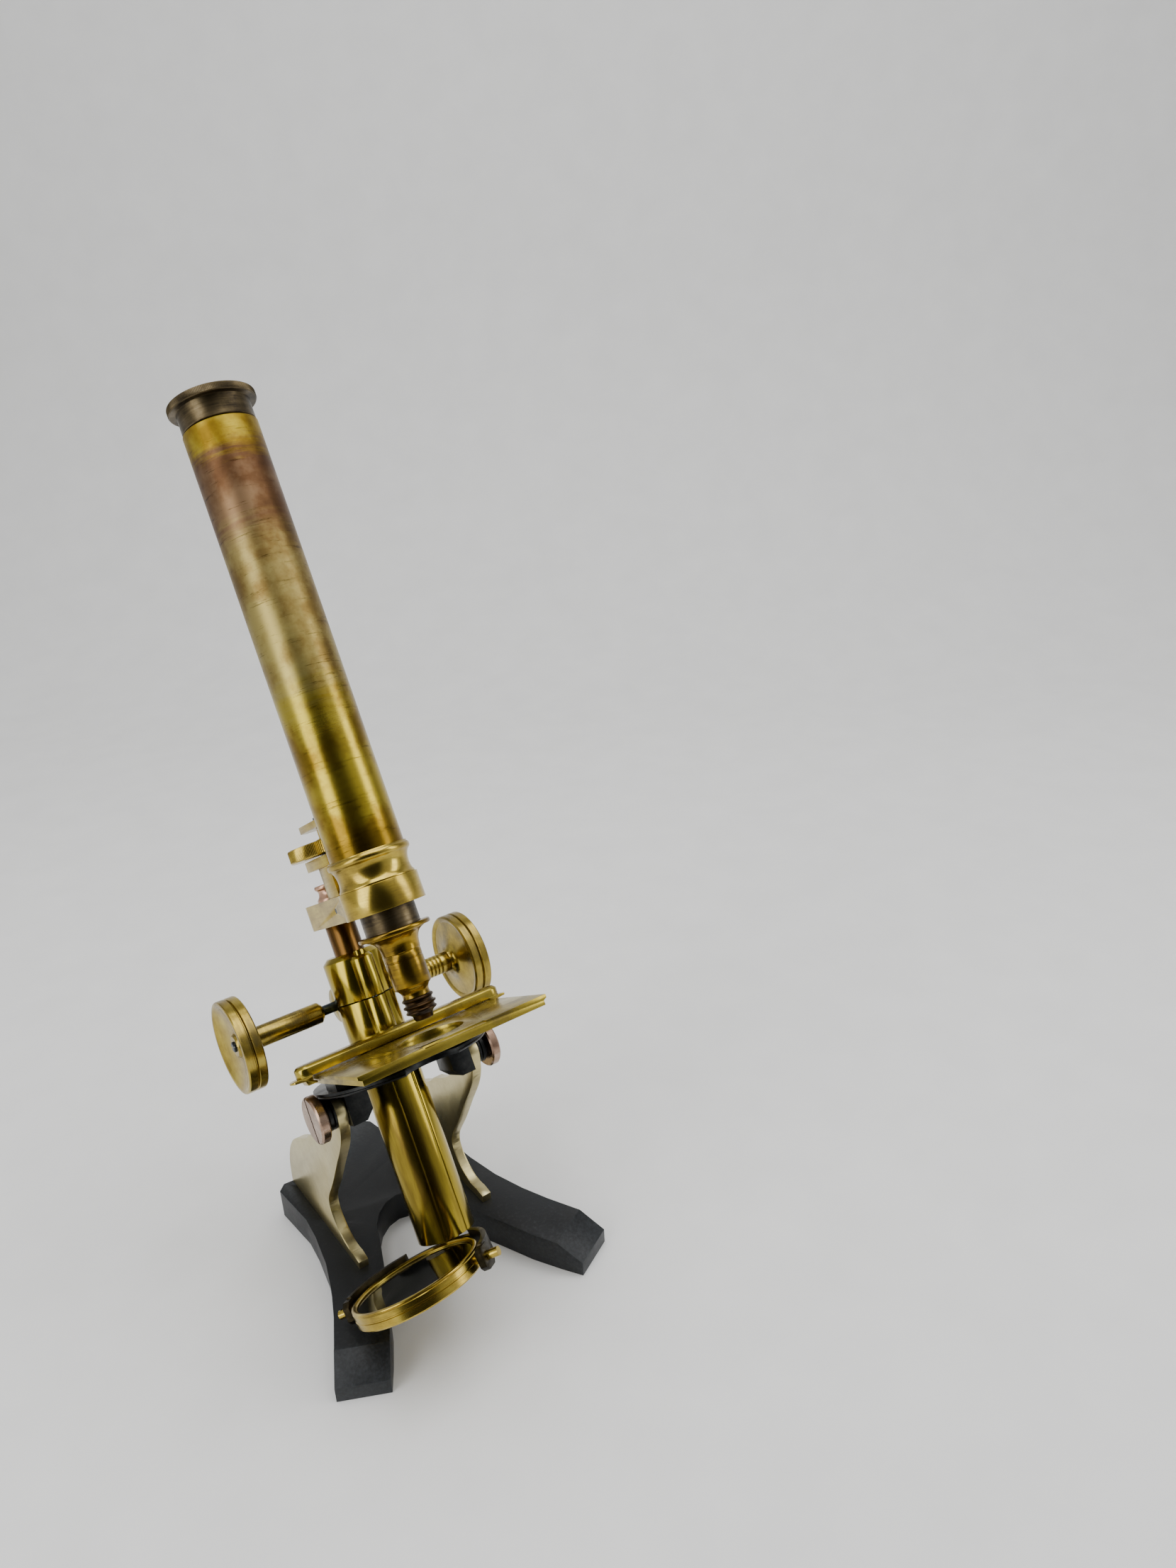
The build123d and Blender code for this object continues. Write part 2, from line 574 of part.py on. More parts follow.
def knob():
    """Right-hand coarse-focus head with two milled bands and dished faces."""
    r = 22.8
    pts = [(2.5, 52.0), (5.8, 52.0), (6.4, 53.4), (8.6, 55.2), (12.5, 56.4), (19.8, 56.6), (20.6, 56.0), (22.0, 56.0),
           (r, 56.6), (r, 60.0), (r - 0.9, 60.4), (r - 0.9, 61.0), (r, 61.4), (r, 64.8), (22.0, 65.4), (20.6, 65.4),
           (19.8, 64.6), (12.0, 62.2), (6.0, 61.4), (5.4, 62.6), (4.6, 63.0), (2.5, 63.0)]
    return xturned(pts, PINION_Y, PINION_Z)


def sleeve():
    """Right-hand sleeve on the pinion shaft."""
    pts = [(2.5, 18.6), (3.6, 18.6), (5.2, 20.2), (5.2, 52.0), (2.5, 52.0)]
    return xturned(pts, PINION_Y, PINION_Z)


def knob_screws():
    """Slotted end screws in the knob faces."""
    one = xturned([(0, 63.0), (2.6, 63.0), (2.6, 63.6), (2.0, 64.0), (0, 64.0)], PINION_Y, PINION_Z)
    one = one - block(63.5, 65, PINION_Y - 4, PINION_Y + 4, PINION_Z - 0.4, PINION_Z + 0.4)
    return placed(Compound(children=[one, mirrored(one)]))


# --- mirror ---------------------------------------------------------------------------------
def mirror_arm():
    """Small boss that swivels under the tail tube."""
    z = TAIL_BOTTOM
    body = rod(5.0, z - 9.4, z - 0.3, 0, PILLAR_Y) - rod(2.55, z - 20, z, 0, PILLAR_Y)
    hole = mirror_placed(Pos(0, 40, 0) * Rot(90, 0, 0) * Cylinder(1.55, 9))
    return placed(body - hole)


def arm_washer():
    """Nut and washer under the boss."""
    z = TAIL_BOTTOM - 9.5
    pts = [(2.5, z), (4.4, z), (4.4, z - 0.6), (3.6, z - 0.6), (3.6, z - 2.0), (0, z - 2.0), (0, z - 0.15), (2.5, z - 0.15)]
    return placed(turned(pts, 0, PILLAR_Y))


def gimbal():
    """Half-ring fork that holds the mirror by its pins."""
    ring = pipe(36.6, 34.0, -2.6, 6.0) & block(-60, 60, 0, 60, -5, 7)
    ring = ring - block(-18, 18, 20, 60, 3.2, 7)
    lug = block(34.0, 37.2, -5.4, 5.4, -5.2, 5.2)
    lug = chamfer(lug.edges().filter_by(Axis.X), 2.2)
    body = ring + lug + mirrored(lug)
    body = body - xrod(2.15, -60, 60, 0, 0)
    body = body - Pos(0, 36, 0) * Rot(90, 0, 0) * Cylinder(1.55, 9)
    return placed(mirror_placed(body))


def gimbal_screw():
    """Screw that pivots the fork on the boss."""
    pts = [(0, 33.2), (2.8, 33.2), (2.8, 33.8), (1.5, 33.8), (1.5, 39.2), (0, 39.2)]
    return placed(mirror_placed(Rot(-90, 0, 0) * turned(pts)))


def mirror_bezel():
    """Turned brass box that holds the glass."""
    r = MIRROR_R
    pts = [(0, -4.3), (r - 1.4, -4.3), (r, -3.4), (r, -0.4), (r - 0.35, -0.1), (r - 0.35, 0.3), (r, 0.6), (r, 2.9),
           (r - 0.4, 3.3), (r - 0.2, 3.9), (r - 0.8, 4.3), (r - 1.6, 4.3), (r - 2.0, 3.7), (r - 2.6, 3.4), (r - 2.6, -2.6),
           (0, -2.6)]
    body = turned(pts) - xrod(2.1, r - 2.0, 60, 0, 0) - xrod(2.1, -60, -r + 2.0, 0, 0)
    return placed(mirror_placed(body))


def mirror_glass():
    """Silvered glass disc, seated on the bottom of its box."""
    return placed(mirror_placed(rod(MIRROR_R - 2.65, -2.6, 2.9)))


def mirror_pins():
    """Two pivot pins, one cross-drilled."""
    right = xrod(2.1, MIRROR_R - 1.95, 42.8, 0, 0)
    left = xrod(2.1, -42.8, -MIRROR_R + 1.95, 0, 0) - Pos(-41.0, 0, 0) * Cylinder(0.8, 10)
    return placed(mirror_placed(Compound(children=[right, left])))


def main():
    """Write every node."""
    os.makedirs("parts", exist_ok=True)
    right = upright()
    head = knob()
    bush = sleeve()
    nodes = {
        "foot": foot(), "upright_right": right, "upright_left": mirrored(right), "upright_screws": upright_screws(),
        "trunnion_screws": trunnion_screws(), "trunnion_washers": trunnion_washers(), "cradle": cradle(),
        "pillar_lower": pillar_lower(), "pillar_cap": pillar_cap(), "pillar_screw": pillar_screw(),
        "tail_tube": tail_tube(), "tail_plug": tail_plug(), "stage_plate": stage_plate(),
        "stage_pillars": stage_pillars(), "stage_screws": stage_screws(), "slide_bar": slide_bar(),
        "bar_clips": bar_clips(), "bar_screws": bar_screws(), "stem": stem(), "rack": rack(), "arm": arm(),
        "arm_nut": arm_nut(), "tube_collar": tube_collar(), "body_tube": body_tube(), "tube_screw": tube_screw(),
        "tube_lining": tube_lining(), "focus_bracket": focus_bracket(), "bracket_post": bracket_post(),
        "bracket_screws": bracket_screws(), "fine_screw": fine_screw(), "fine_wheel": fine_wheel(),
        "fine_lever": fine_lever(), "lever_pin": lever_pin(), "nose_tube": nose_tube(), "nose_spring": nose_spring(),
        "spring_ring": spring_ring(), "objective_mount": objective_mount(), "objective_body": objective_body(),
        "objective_cell": objective_cell(), "front_lens": lens(2.58, 30.9, 1.9, 0.6), "rear_lens": lens(4.58, 48.0, 4.0, 0.9),
        "eyepiece_tube": eyepiece_tube(), "eyepiece_cap": eyepiece_cap(), "field_stop": field_stop(),
        "lens_rings": lens_rings(), "field_lens": lens(13.25, 282.2, 5.0, 1.6), "eye_lens": lens(13.25, 314.4, 4.4, 1.3),
        "pinion": pinion(), "knob_right": placed(head), "knob_left": placed(mirrored(head)),
        "sleeve_right": placed(bush), "sleeve_left": placed(mirrored(bush)), "knob_screws": knob_screws(),
        "mirror_arm": mirror_arm(), "arm_washer": arm_washer(), "gimbal": gimbal(), "gimbal_screw": gimbal_screw(),
        "mirror_bezel": mirror_bezel(), "mirror_glass": mirror_glass(), "mirror_pins": mirror_pins(),
    }
    for name, shape in nodes.items():
        save(name, shape)


if __name__ == "__main__":
    main()
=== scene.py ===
"""Looks of a brass bar-limb microscope: its turned, milled and lacquered pieces, its iron foot and the studio."""
import json
import logging
import math
from dataclasses import dataclass
from enum import Enum
from typing import Sequence

import bmesh
import bpy
from mathutils import Matrix, Vector


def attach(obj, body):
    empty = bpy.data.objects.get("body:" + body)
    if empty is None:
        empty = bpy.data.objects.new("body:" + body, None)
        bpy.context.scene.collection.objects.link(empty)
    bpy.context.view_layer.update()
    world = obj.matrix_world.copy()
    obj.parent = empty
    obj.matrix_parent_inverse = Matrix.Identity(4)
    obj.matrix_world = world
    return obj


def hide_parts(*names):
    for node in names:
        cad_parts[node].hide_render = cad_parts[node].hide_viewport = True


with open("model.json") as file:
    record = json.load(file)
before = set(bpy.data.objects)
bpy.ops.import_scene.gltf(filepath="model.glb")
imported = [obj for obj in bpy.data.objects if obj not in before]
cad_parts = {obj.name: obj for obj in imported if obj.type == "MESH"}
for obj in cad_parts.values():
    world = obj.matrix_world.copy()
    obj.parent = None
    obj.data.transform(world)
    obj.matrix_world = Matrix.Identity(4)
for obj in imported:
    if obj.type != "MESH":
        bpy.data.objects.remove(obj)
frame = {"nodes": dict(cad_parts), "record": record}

log = logging.getLogger("microscope")
MM = 0.001
Point = tuple[float, float]


# ---------------------------------------------------------------------------------------------
# Frames: where the limb and the mirror sit, read from the joints of the record
# ---------------------------------------------------------------------------------------------
def joint_data(name: str) -> dict:
    """Return one joint's entry of the record.

    Args:
        name: The joint's name.

    Returns:
        The joint's dictionary, with its axis and, for a hinge, its position.
    """
    return next(j for j in frame["record"]["behaviour"]["joints"] if j["name"] == name)


def basis(origin: Sequence[float], x_axis: Vector, z_axis: Vector) -> Matrix:
    """Build a millimetre frame as a matrix that carries it into the part's metres.

    Args:
        origin: Place of the frame's origin, in metres.
        x_axis: Direction of its x axis.
        z_axis: Direction of its z axis.

    Returns:
        The 4 x 4 matrix.
    """
    y_axis = z_axis.cross(x_axis)
    turn = Matrix((x_axis, y_axis, z_axis)).transposed().to_4x4()
    return Matrix.Translation(Vector(origin)) @ turn @ Matrix.Scale(MM, 4)


TUBE_AXIS = Vector(joint_data("coarse_focus")["axis"]).normalized()
ACROSS = Vector((1.0, 0.0, 0.0))
LIMB = basis(joint_data("incline")["pos_m"], ACROSS, TUBE_AXIS)
PIN_AXIS = Vector(joint_data("mirror_tilt")["axis"]).normalized()
FORK_AXIS = Vector(joint_data("mirror_roll")["axis"]).normalized()
MIRROR = basis(joint_data("mirror_tilt")["pos_m"], PIN_AXIS, PIN_AXIS.cross(FORK_AXIS).normalized())
INCLINE = math.atan2(TUBE_AXIS.y, TUBE_AXIS.z)

OPTIC_Y = -51.0
PILLAR_Y = 14.3
FINE_Y = -8.0
PINION_Y = 27.3
PINION_Z = 42.5


def along_x(y: float, z: float, flip: bool = False) -> Matrix:
    """Frame whose z axis runs across the limb, for pieces turned on the pinion or the trunnions.

    Args:
        y: Place behind the trunnion axis, in millimetres.
        z: Height up the tube, in millimetres.
        flip: True for the left-hand side.

    Returns:
        The 4 x 4 matrix of the frame.
    """
    turn = Matrix.Rotation(math.radians(-90.0 if flip else 90.0), 4, "Y")
    return LIMB @ Matrix.Translation((0.0, y, z)) @ turn


# ---------------------------------------------------------------------------------------------
# Bench work: the few ways in which pieces are made
# ---------------------------------------------------------------------------------------------
def clear_selection() -> None:
    """Deselect every object, in object mode."""
    if bpy.context.mode != "OBJECT":
        bpy.ops.object.mode_set(mode="OBJECT")
    bpy.ops.object.select_all(action="DESELECT")


def edit(piece: bpy.types.Object, select: str = "SELECT") -> None:
    """Open a piece in edit mode.

    Args:
        piece: The mesh object.
        select: What select_all is told, SELECT or DESELECT.
    """
    clear_selection()
    bpy.context.view_layer.objects.active = piece
    piece.select_set(True)
    bpy.ops.object.mode_set(mode="EDIT")
    bpy.ops.mesh.select_all(action=select)


def leave() -> None:
    """Go back to object mode."""
    bpy.ops.object.mode_set(mode="OBJECT")


def trace(name: str, points: Sequence[Sequence[float]]) -> bpy.types.Object:
    """Draw a chain of edges by extruding one point along a path.

    Args:
        name: The new object's name.
        points: The path, as (x, y, z) in millimetres.

    Returns:
        The new object, left in edit mode with its last point selected.
    """
    clear_selection()
    bpy.ops.mesh.primitive_plane_add(size=1.0, location=(0.0, 0.0, 0.0))
    piece = bpy.context.active_object
    piece.name = name
    piece.data.name = name
    bpy.ops.object.mode_set(mode="EDIT")
    bpy.ops.mesh.select_mode(type="VERT")
    bpy.ops.mesh.select_all(action="SELECT")
    bpy.ops.mesh.merge(type="CENTER")
    bpy.ops.transform.translate(value=points[0])
    for here, there in zip(points, points[1:]):
        step = tuple(b - a for a, b in zip(here, there))
        bpy.ops.mesh.extrude_region_move(TRANSFORM_OT_translate={"value": step})
    return piece


def lathe(name: str, profile: Sequence[Point], segments: int = 128) -> bpy.types.Object:
    """Turn a closed (radius, height) outline about the z axis.

    Args:
        name: The new object's name.
        profile: The outline's corners, in order, in millimetres; a corner may lie on the axis.
        segments: Number of steps round the axis.

    Returns:
        The turned piece, in object mode.
    """
    ring = list(profile) if profile[0][0] == 0.0 and profile[-1][0] == 0.0 else list(profile) + [profile[0]]
    piece = trace(name, [(r, 0.0, z) for r, z in ring])
    bpy.ops.mesh.select_all(action="SELECT")
    bpy.ops.mesh.spin(steps=segments, angle=math.tau, center=(0.0, 0.0, 0.0), axis=(0.0, 0.0, 1.0))
    bpy.ops.mesh.select_all(action="SELECT")
    bpy.ops.mesh.remove_doubles(threshold=0.0005)
    bpy.ops.mesh.normals_make_consistent(inside=False)
    leave()
    return piece


def bar(name: str, low: Sequence[float], high: Sequence[float]) -> bpy.types.Object:
    """Add a rectangular block between two corners.

    Args:
        name: The new object's name.
        low: Its lowest corner.
        high: Its highest corner.

    Returns:
        The block.
    """
    clear_selection()
    middle = [(a + b) / 2 for a, b in zip(low, high)]
    bpy.ops.mesh.primitive_cube_add(size=1.0, location=middle)
    piece = bpy.context.active_object
    piece.name = name
    piece.scale = [b - a for a, b in zip(low, high)]
    bpy.ops.object.transform_apply(location=True, rotation=True, scale=True)
    return piece


def combine(piece: bpy.types.Object, tool: bpy.types.Object, operation: str = "DIFFERENCE") -> None:
    """Cut one piece with another, or weld them, and drop the tool.

    Args:
        piece: The piece that stays.
        tool: The piece that is used up.
        operation: DIFFERENCE, UNION or INTERSECT.
    """
    clear_selection()
    bpy.context.view_layer.objects.active = piece
    change = piece.modifiers.new("cut", "BOOLEAN")
    change.operation = operation
    change.solver = "EXACT"
    change.object = tool
    bpy.ops.object.modifier_apply(modifier=change.name)
    bpy.data.objects.remove(tool, do_unlink=True)


def shift(piece: bpy.types.Object, matrix: Matrix) -> bpy.types.Object:
    """Put a piece in place and apply its place to its mesh.

    Args:
        piece: The piece, modelled in its own millimetre frame.
        matrix: The frame it belongs in.

    Returns:
        The same piece.
    """
    clear_selection()
    bpy.context.view_layer.objects.active = piece
    piece.select_set(True)
    piece.matrix_world = matrix
    bpy.ops.object.transform_apply(location=True, rotation=True, scale=True)
    return piece


def soften(piece: bpy.types.Object, width: float, steps: int = 2, angle: float = 32.0) -> bpy.types.Object:
    """Round a placed piece's edges a little and smooth its shading.

    Args:
        piece: The piece, in metres.
        width: Width of the rounding, in millimetres.
        steps: Number of steps across it.
        angle: Least angle of an edge that is rounded, in degrees.

    Returns:
        The same piece.
    """
    clear_selection()
    bpy.context.view_layer.objects.active = piece
    piece.select_set(True)
    edge = piece.modifiers.new("edge", "BEVEL")
    edge.width = width * MM
    edge.segments = steps
    edge.limit_method = "ANGLE"
    edge.angle_limit = math.radians(angle)
    edge.miter_outer = "MITER_ARC"
    bpy.ops.object.modifier_apply(modifier=edge.name)
    smooth(piece)
    return piece


def smooth(piece: bpy.types.Object, angle: float = 30.0) -> bpy.types.Object:
    """Shade a piece smooth except across sharp edges.

    Args:
        piece: The piece.
        angle: Least angle of an edge that stays sharp, in degrees.

    Returns:
        The same piece.
    """
    clear_selection()
    bpy.context.view_layer.objects.active = piece
    piece.select_set(True)
    bpy.ops.object.shade_smooth_by_angle(angle=math.radians(angle))
    return piece


def refined(name: str, node: str, width: float, steps: int = 2, angle: float = 32.0) -> bpy.types.Object:
    """Copy a node of the frame, weld its loose faces and round its edges.

    Args:
        name: The new object's name.
        node: The node that is copied.
        width: Width of the rounding, in millimetres.
        steps: Number of steps across it.
        angle: Least angle of an edge that is rounded, in degrees.

    Returns:
        The finished copy.
    """
    clear_selection()
    source = frame["nodes"][node]
    piece = bpy.data.objects.new(name, source.data.copy())
    bpy.context.scene.collection.objects.link(piece)
    piece.data.materials.clear()
    edit(piece)
    bpy.ops.mesh.remove_doubles(threshold=0.00001)
    bpy.ops.mesh.customdata_custom_splitnormals_clear()
    bpy.ops.mesh.dissolve_limited(angle_limit=math.radians(0.6))
    leave()
    return soften(piece, width, steps, angle)


def mill(piece: bpy.types.Object, low: float, high: float, radius: float, depth: float) -> None:
    """Cut fine straight teeth in a turned rim, by drawing every second column of points inwards.

    Args:
        piece: The turned piece, still in its own frame.
        low: Lowest height of the milled band.
        high: Highest height of the band.
        radius: Least radius that counts as the rim.
        depth: Depth of the teeth, in millimetres.
    """
    edit(piece, "DESELECT")
    mesh = bmesh.from_edit_mesh(piece.data)
    columns = sorted({round(math.atan2(v.co.y, v.co.x), 4) for v in mesh.verts if math.hypot(v.co.x, v.co.y) > radius})
    odd = set(columns[::2])
    for vert in mesh.verts:
        at_rim = math.hypot(vert.co.x, vert.co.y) > radius and low <= vert.co.z <= high
        vert.select = at_rim and round(math.atan2(vert.co.y, vert.co.x), 4) in odd
    mesh.select_flush_mode()
    bmesh.update_edit_mesh(piece.data)
    ratio = 1.0 - depth / radius
    bpy.ops.transform.resize(value=(ratio, ratio, 1.0), center_override=(0.0, 0.0, 0.0))
    leave()


# ---------------------------------------------------------------------------------------------
# Finishes
# ---------------------------------------------------------------------------------------------
def linear(code: str) -> tuple[float, float, float, float]:
    """Turn an sRGB hex colour into linear values.

    Args:
        code: The colour, such as "#c9a24b".

    Returns:
        Red, green, blue and an alpha of one.
    """
    parts = [int(code[i:i + 2], 16) / 255 for i in (1, 3, 5)]
    return (*(c / 12.92 if c <= 0.04045 else ((c + 0.055) / 1.055) ** 2.4 for c in parts), 1.0)


def add(tree: bpy.types.NodeTree, kind: str, settings: dict | None = None, links: dict | None = None,
        **attributes: object) -> bpy.types.Node:
    """Add a node with its settings and links.

    Args:
        tree: The material's node tree.
        kind: The node's type, without the ShaderNode that starts it.
        settings: Values for its inputs, by name or number.
        links: Output sockets that feed its inputs, by name or number.
        **attributes: The node's own properties.

    Returns:
        The node.
    """
    node = tree.nodes.new("ShaderNode" + kind)
    for key, value in attributes.items():
        setattr(node, key, value)
    for key, value in (settings or {}).items():
        node.inputs[key].default_value = value
    for key, socket in (links or {}).items():
        tree.links.new(socket, node.inputs[key])
    return node


def ramp(tree: bpy.types.NodeTree, socket: bpy.types.NodeSocket,
         stops: Sequence[tuple[float, str]]) -> bpy.types.NodeSocket:
    """Colour a value by a ramp.

    Args:
        tree: The material's node tree.
        socket: The value.
        stops: Positions and their hex colours.

    Returns:
        The ramp's colour output.
    """
    node = add(tree, "ValToRGB", links={"Fac": socket})
    elements = node.color_ramp.elements
    while len(elements) < len(stops):
        elements.new(0.5)
    for element, (place, code) in zip(elements, stops):
        element.position = place
        element.color = linear(code)
    return node.outputs["Color"]


class Lay(Enum):
    """Which way a piece was turned, rubbed or drawn, so that its fine lines run as the tool went."""

    TUBE = (1.0, 1.0, 14.0)
    CROSS = (14.0, 1.0, 1.0)
    ALONG = (1.0, 1.0, 0.12)
    FLAT = (0.25, 3.0, 3.0)
    ROUND = (1.0, 1.0, 1.0)


def limb_coordinates(tree: bpy.types.NodeTree, stretch: Sequence[float]) -> bpy.types.NodeSocket:
    """Give coordinates that lie along the tube, stretched to draw lines out.

    Args:
        tree: The material's node tree.
        stretch: Factor along each axis of the limb.

    Returns:
        The vector, in metres times the stretch.
    """
    source = add(tree, "TexCoord")
    back = LIMB.to_3x3().normalized().transposed()
    offset = -(back @ LIMB.to_translation())
    upright = add(tree, "Mapping", {"Rotation": (INCLINE, 0.0, 0.0), "Location": tuple(offset)},
                  {"Vector": source.outputs["Object"]})
    return add(tree, "Mapping", {"Scale": tuple(stretch)}, {"Vector": upright.outputs["Vector"]}).outputs["Vector"]


def per_mm(size: float) -> float:
    """Return the texture scale that gives features of one size.

    Args:
        size: Feature size in millimetres.

    Returns:
        Features per metre.
    """
    return 1000.0 / size


@dataclass(frozen=True)
class Metal:
    """A worn metal: base colour, tarnish in clouds, lines left by the tool, specks and dulled patches."""

    name: str
    bright: str
    deep: str
    tarnish: str
    cover: float = 0.5
    roughness: tuple[float, float] = (0.16, 0.36)
    lay: Lay = Lay.TUBE
    cloud_mm: float = 16.0
    line_mm: float = 1.3
    bump: float = 0.06
    coat: float = 0.0
    metallic: float = 1.0

    def build(self) -> bpy.types.Material:
        """Make the material.

        Returns:
            The material, or the one of that name made before.
        """
        if self.name in bpy.data.materials:
            return bpy.data.materials[self.name]
        material = bpy.data.materials.new(self.name)
        material.use_nodes = True
        tree = material.node_tree
        shader = tree.nodes["Principled BSDF"]
        plain = limb_coordinates(tree, (1.0, 1.0, 1.0))
        lines = limb_coordinates(tree, self.lay.value)
        cloud = add(tree, "TexNoise", {"Scale": per_mm(self.cloud_mm), "Detail": 6.0, "Roughness": 0.62},
                    {"Vector": lines if self.lay is Lay.ALONG else plain})
        line = add(tree, "TexNoise", {"Scale": per_mm(self.line_mm * 12), "Detail": 8.0, "Roughness": 0.75},
                   {"Vector": lines})
        grit = add(tree, "TexNoise", {"Scale": per_mm(0.8), "Detail": 4.0, "Roughness": 0.7}, {"Vector": plain})
        blend = add(tree, "Math", {1: 0.65}, {0: cloud.outputs["Fac"]}, operation="MULTIPLY")
        mixed = add(tree, "Math", {1: 0.35}, {0: line.outputs["Fac"], 2: blend.outputs[0]}, operation="MULTIPLY_ADD")
        low = 0.62 - 0.34 * self.cover
        colour = ramp(tree, mixed.outputs[0], [(low - 0.10, self.bright), (low + 0.03, self.deep),
                                               (low + 0.16, self.tarnish)])
        speck = ramp(tree, grit.outputs["Fac"], [(0.27, "#6a6a6a"), (0.36, "#ffffff")])
        final = add(tree, "Mix", {0: 0.55}, {6: colour, 7: speck}, data_type="RGBA", blend_type="MULTIPLY")
        tree.links.new(final.outputs[2], shader.inputs["Base Color"])
        smoothness = add(tree, "MapRange", {"From Min": 0.3, "From Max": 0.7, "To Min": self.roughness[0],
                                            "To Max": self.roughness[1]}, {"Value": mixed.outputs[0]})
        tree.links.new(smoothness.outputs["Result"], shader.inputs["Roughness"])
        relief = add(tree, "Math", {1: 0.3}, {0: grit.outputs["Fac"], 2: line.outputs["Fac"]},
                     operation="MULTIPLY_ADD")
        bumps = add(tree, "Bump", {"Strength": self.bump, "Distance": 0.0002}, {"Height": relief.outputs[0]})
        tree.links.new(bumps.outputs["Normal"], shader.inputs["Normal"])
        shader.inputs["Metallic"].default_value = self.metallic
        shader.inputs["Coat Weight"].default_value = self.coat
        shader.inputs["Coat Roughness"].default_value = 0.25
        return material


@dataclass(frozen=True)
class TubeLacquer:
    """Old lacquered brass of the main tube: bright gold near the top, purple-brown tarnish below it, khaki wear
    where it was held and glossier gold with rings of fine scratches towards the collar."""

    name: str = "tube_lacquered_brass"
    low: float = 104.0
    high: float = 306.8

    def build(self) -> bpy.types.Material:
        """Make the material.

        Returns:
            The material, or the one made before.
        """
        if self.name in bpy.data.materials:
            return bpy.data.materials[self.name]
        material = bpy.data.materials.new(self.name)
        material.use_nodes = True
        tree = material.node_tree
        shader = tree.nodes["Principled BSDF"]
        plain = limb_coordinates(tree, (1.0, 1.0, 1.0))
        rings = limb_coordinates(tree, (0.8, 0.8, 9.0))
        drawn = limb_coordinates(tree, (3.0, 3.0, 0.35))
        height = add(tree, "SeparateXYZ", links={"Vector": plain})
        warp = add(tree, "TexNoise", {"Scale": per_mm(24.0), "Detail": 5.0, "Roughness": 0.65}, {"Vector": rings})
        patch = add(tree, "TexNoise", {"Scale": per_mm(26.0), "Detail": 5.0, "Roughness": 0.6}, {"Vector": plain})
        streak = add(tree, "TexNoise", {"Scale": per_mm(15.0), "Detail": 9.0, "Roughness": 0.78}, {"Vector": rings})
        pull = add(tree, "TexNoise", {"Scale": per_mm(20.0), "Detail": 4.0}, {"Vector": drawn})
        along = add(tree, "MapRange", {"From Min": self.low * MM, "From Max": self.high * MM},
                    {"Value": height.outputs["Z"]})
        moved = add(tree, "Math", {1: 0.16}, {0: warp.outputs["Fac"], 2: along.outputs["Result"]},
                    operation="MULTIPLY_ADD")
        zone = ramp(tree, moved.outputs[0], [(0.06, "#a8922f"), (0.42, "#ab993a"), (0.50, "#a59657"),
                                             (0.78, "#9f8f58"), (0.86, "#83694c"), (1.0, "#7b6048")])
        top = add(tree, "MapRange", {"From Min": 0.985, "From Max": 1.03}, {"Value": moved.outputs[0]})
        gold = add(tree, "Mix", data_type="RGBA", links={0: top.outputs["Result"], 6: zone})
        gold.inputs[7].default_value = linear("#ac9632")
        stain = ramp(tree, patch.outputs["Fac"], [(0.42, "#ffffff"), (0.56, "#b79f8c"), (0.66, "#8a705e")])
        stained = add(tree, "Mix", {0: 0.8}, {6: gold.outputs[2], 7: stain}, data_type="RGBA", blend_type="MULTIPLY")
        scratch = ramp(tree, streak.outputs["Fac"], [(0.36, "#6f6247"), (0.44, "#ffffff"), (0.62, "#ffffff"),
                                                     (0.70, "#fff0b0")])
        final = add(tree, "Mix", {0: 0.7}, {6: stained.outputs[2], 7: scratch}, data_type="RGBA",
                    blend_type="MULTIPLY")
        tree.links.new(final.outputs[2], shader.inputs["Base Color"])
        dull = add(tree, "MapRange", {"From Min": 0.35, "From Max": 0.6, "To Min": 0.2, "To Max": 0.36},
                   {"Value": moved.outputs[0]})
        rough = add(tree, "Math", {1: 0.14}, {0: streak.outputs["Fac"], 2: dull.outputs["Result"]},
                    operation="MULTIPLY_ADD")
        eased = add(tree, "Math", {1: -0.06}, {0: pull.outputs["Fac"], 2: rough.outputs[0]},
                    operation="MULTIPLY_ADD")
        tree.links.new(eased.outputs[0], shader.inputs["Roughness"])
        bumps = add(tree, "Bump", {"Strength": 0.08, "Distance": 0.0002}, {"Height": streak.outputs["Fac"]})
        tree.links.new(bumps.outputs["Normal"], shader.inputs["Normal"])
        shader.inputs["Metallic"].default_value = 1.0
        return material


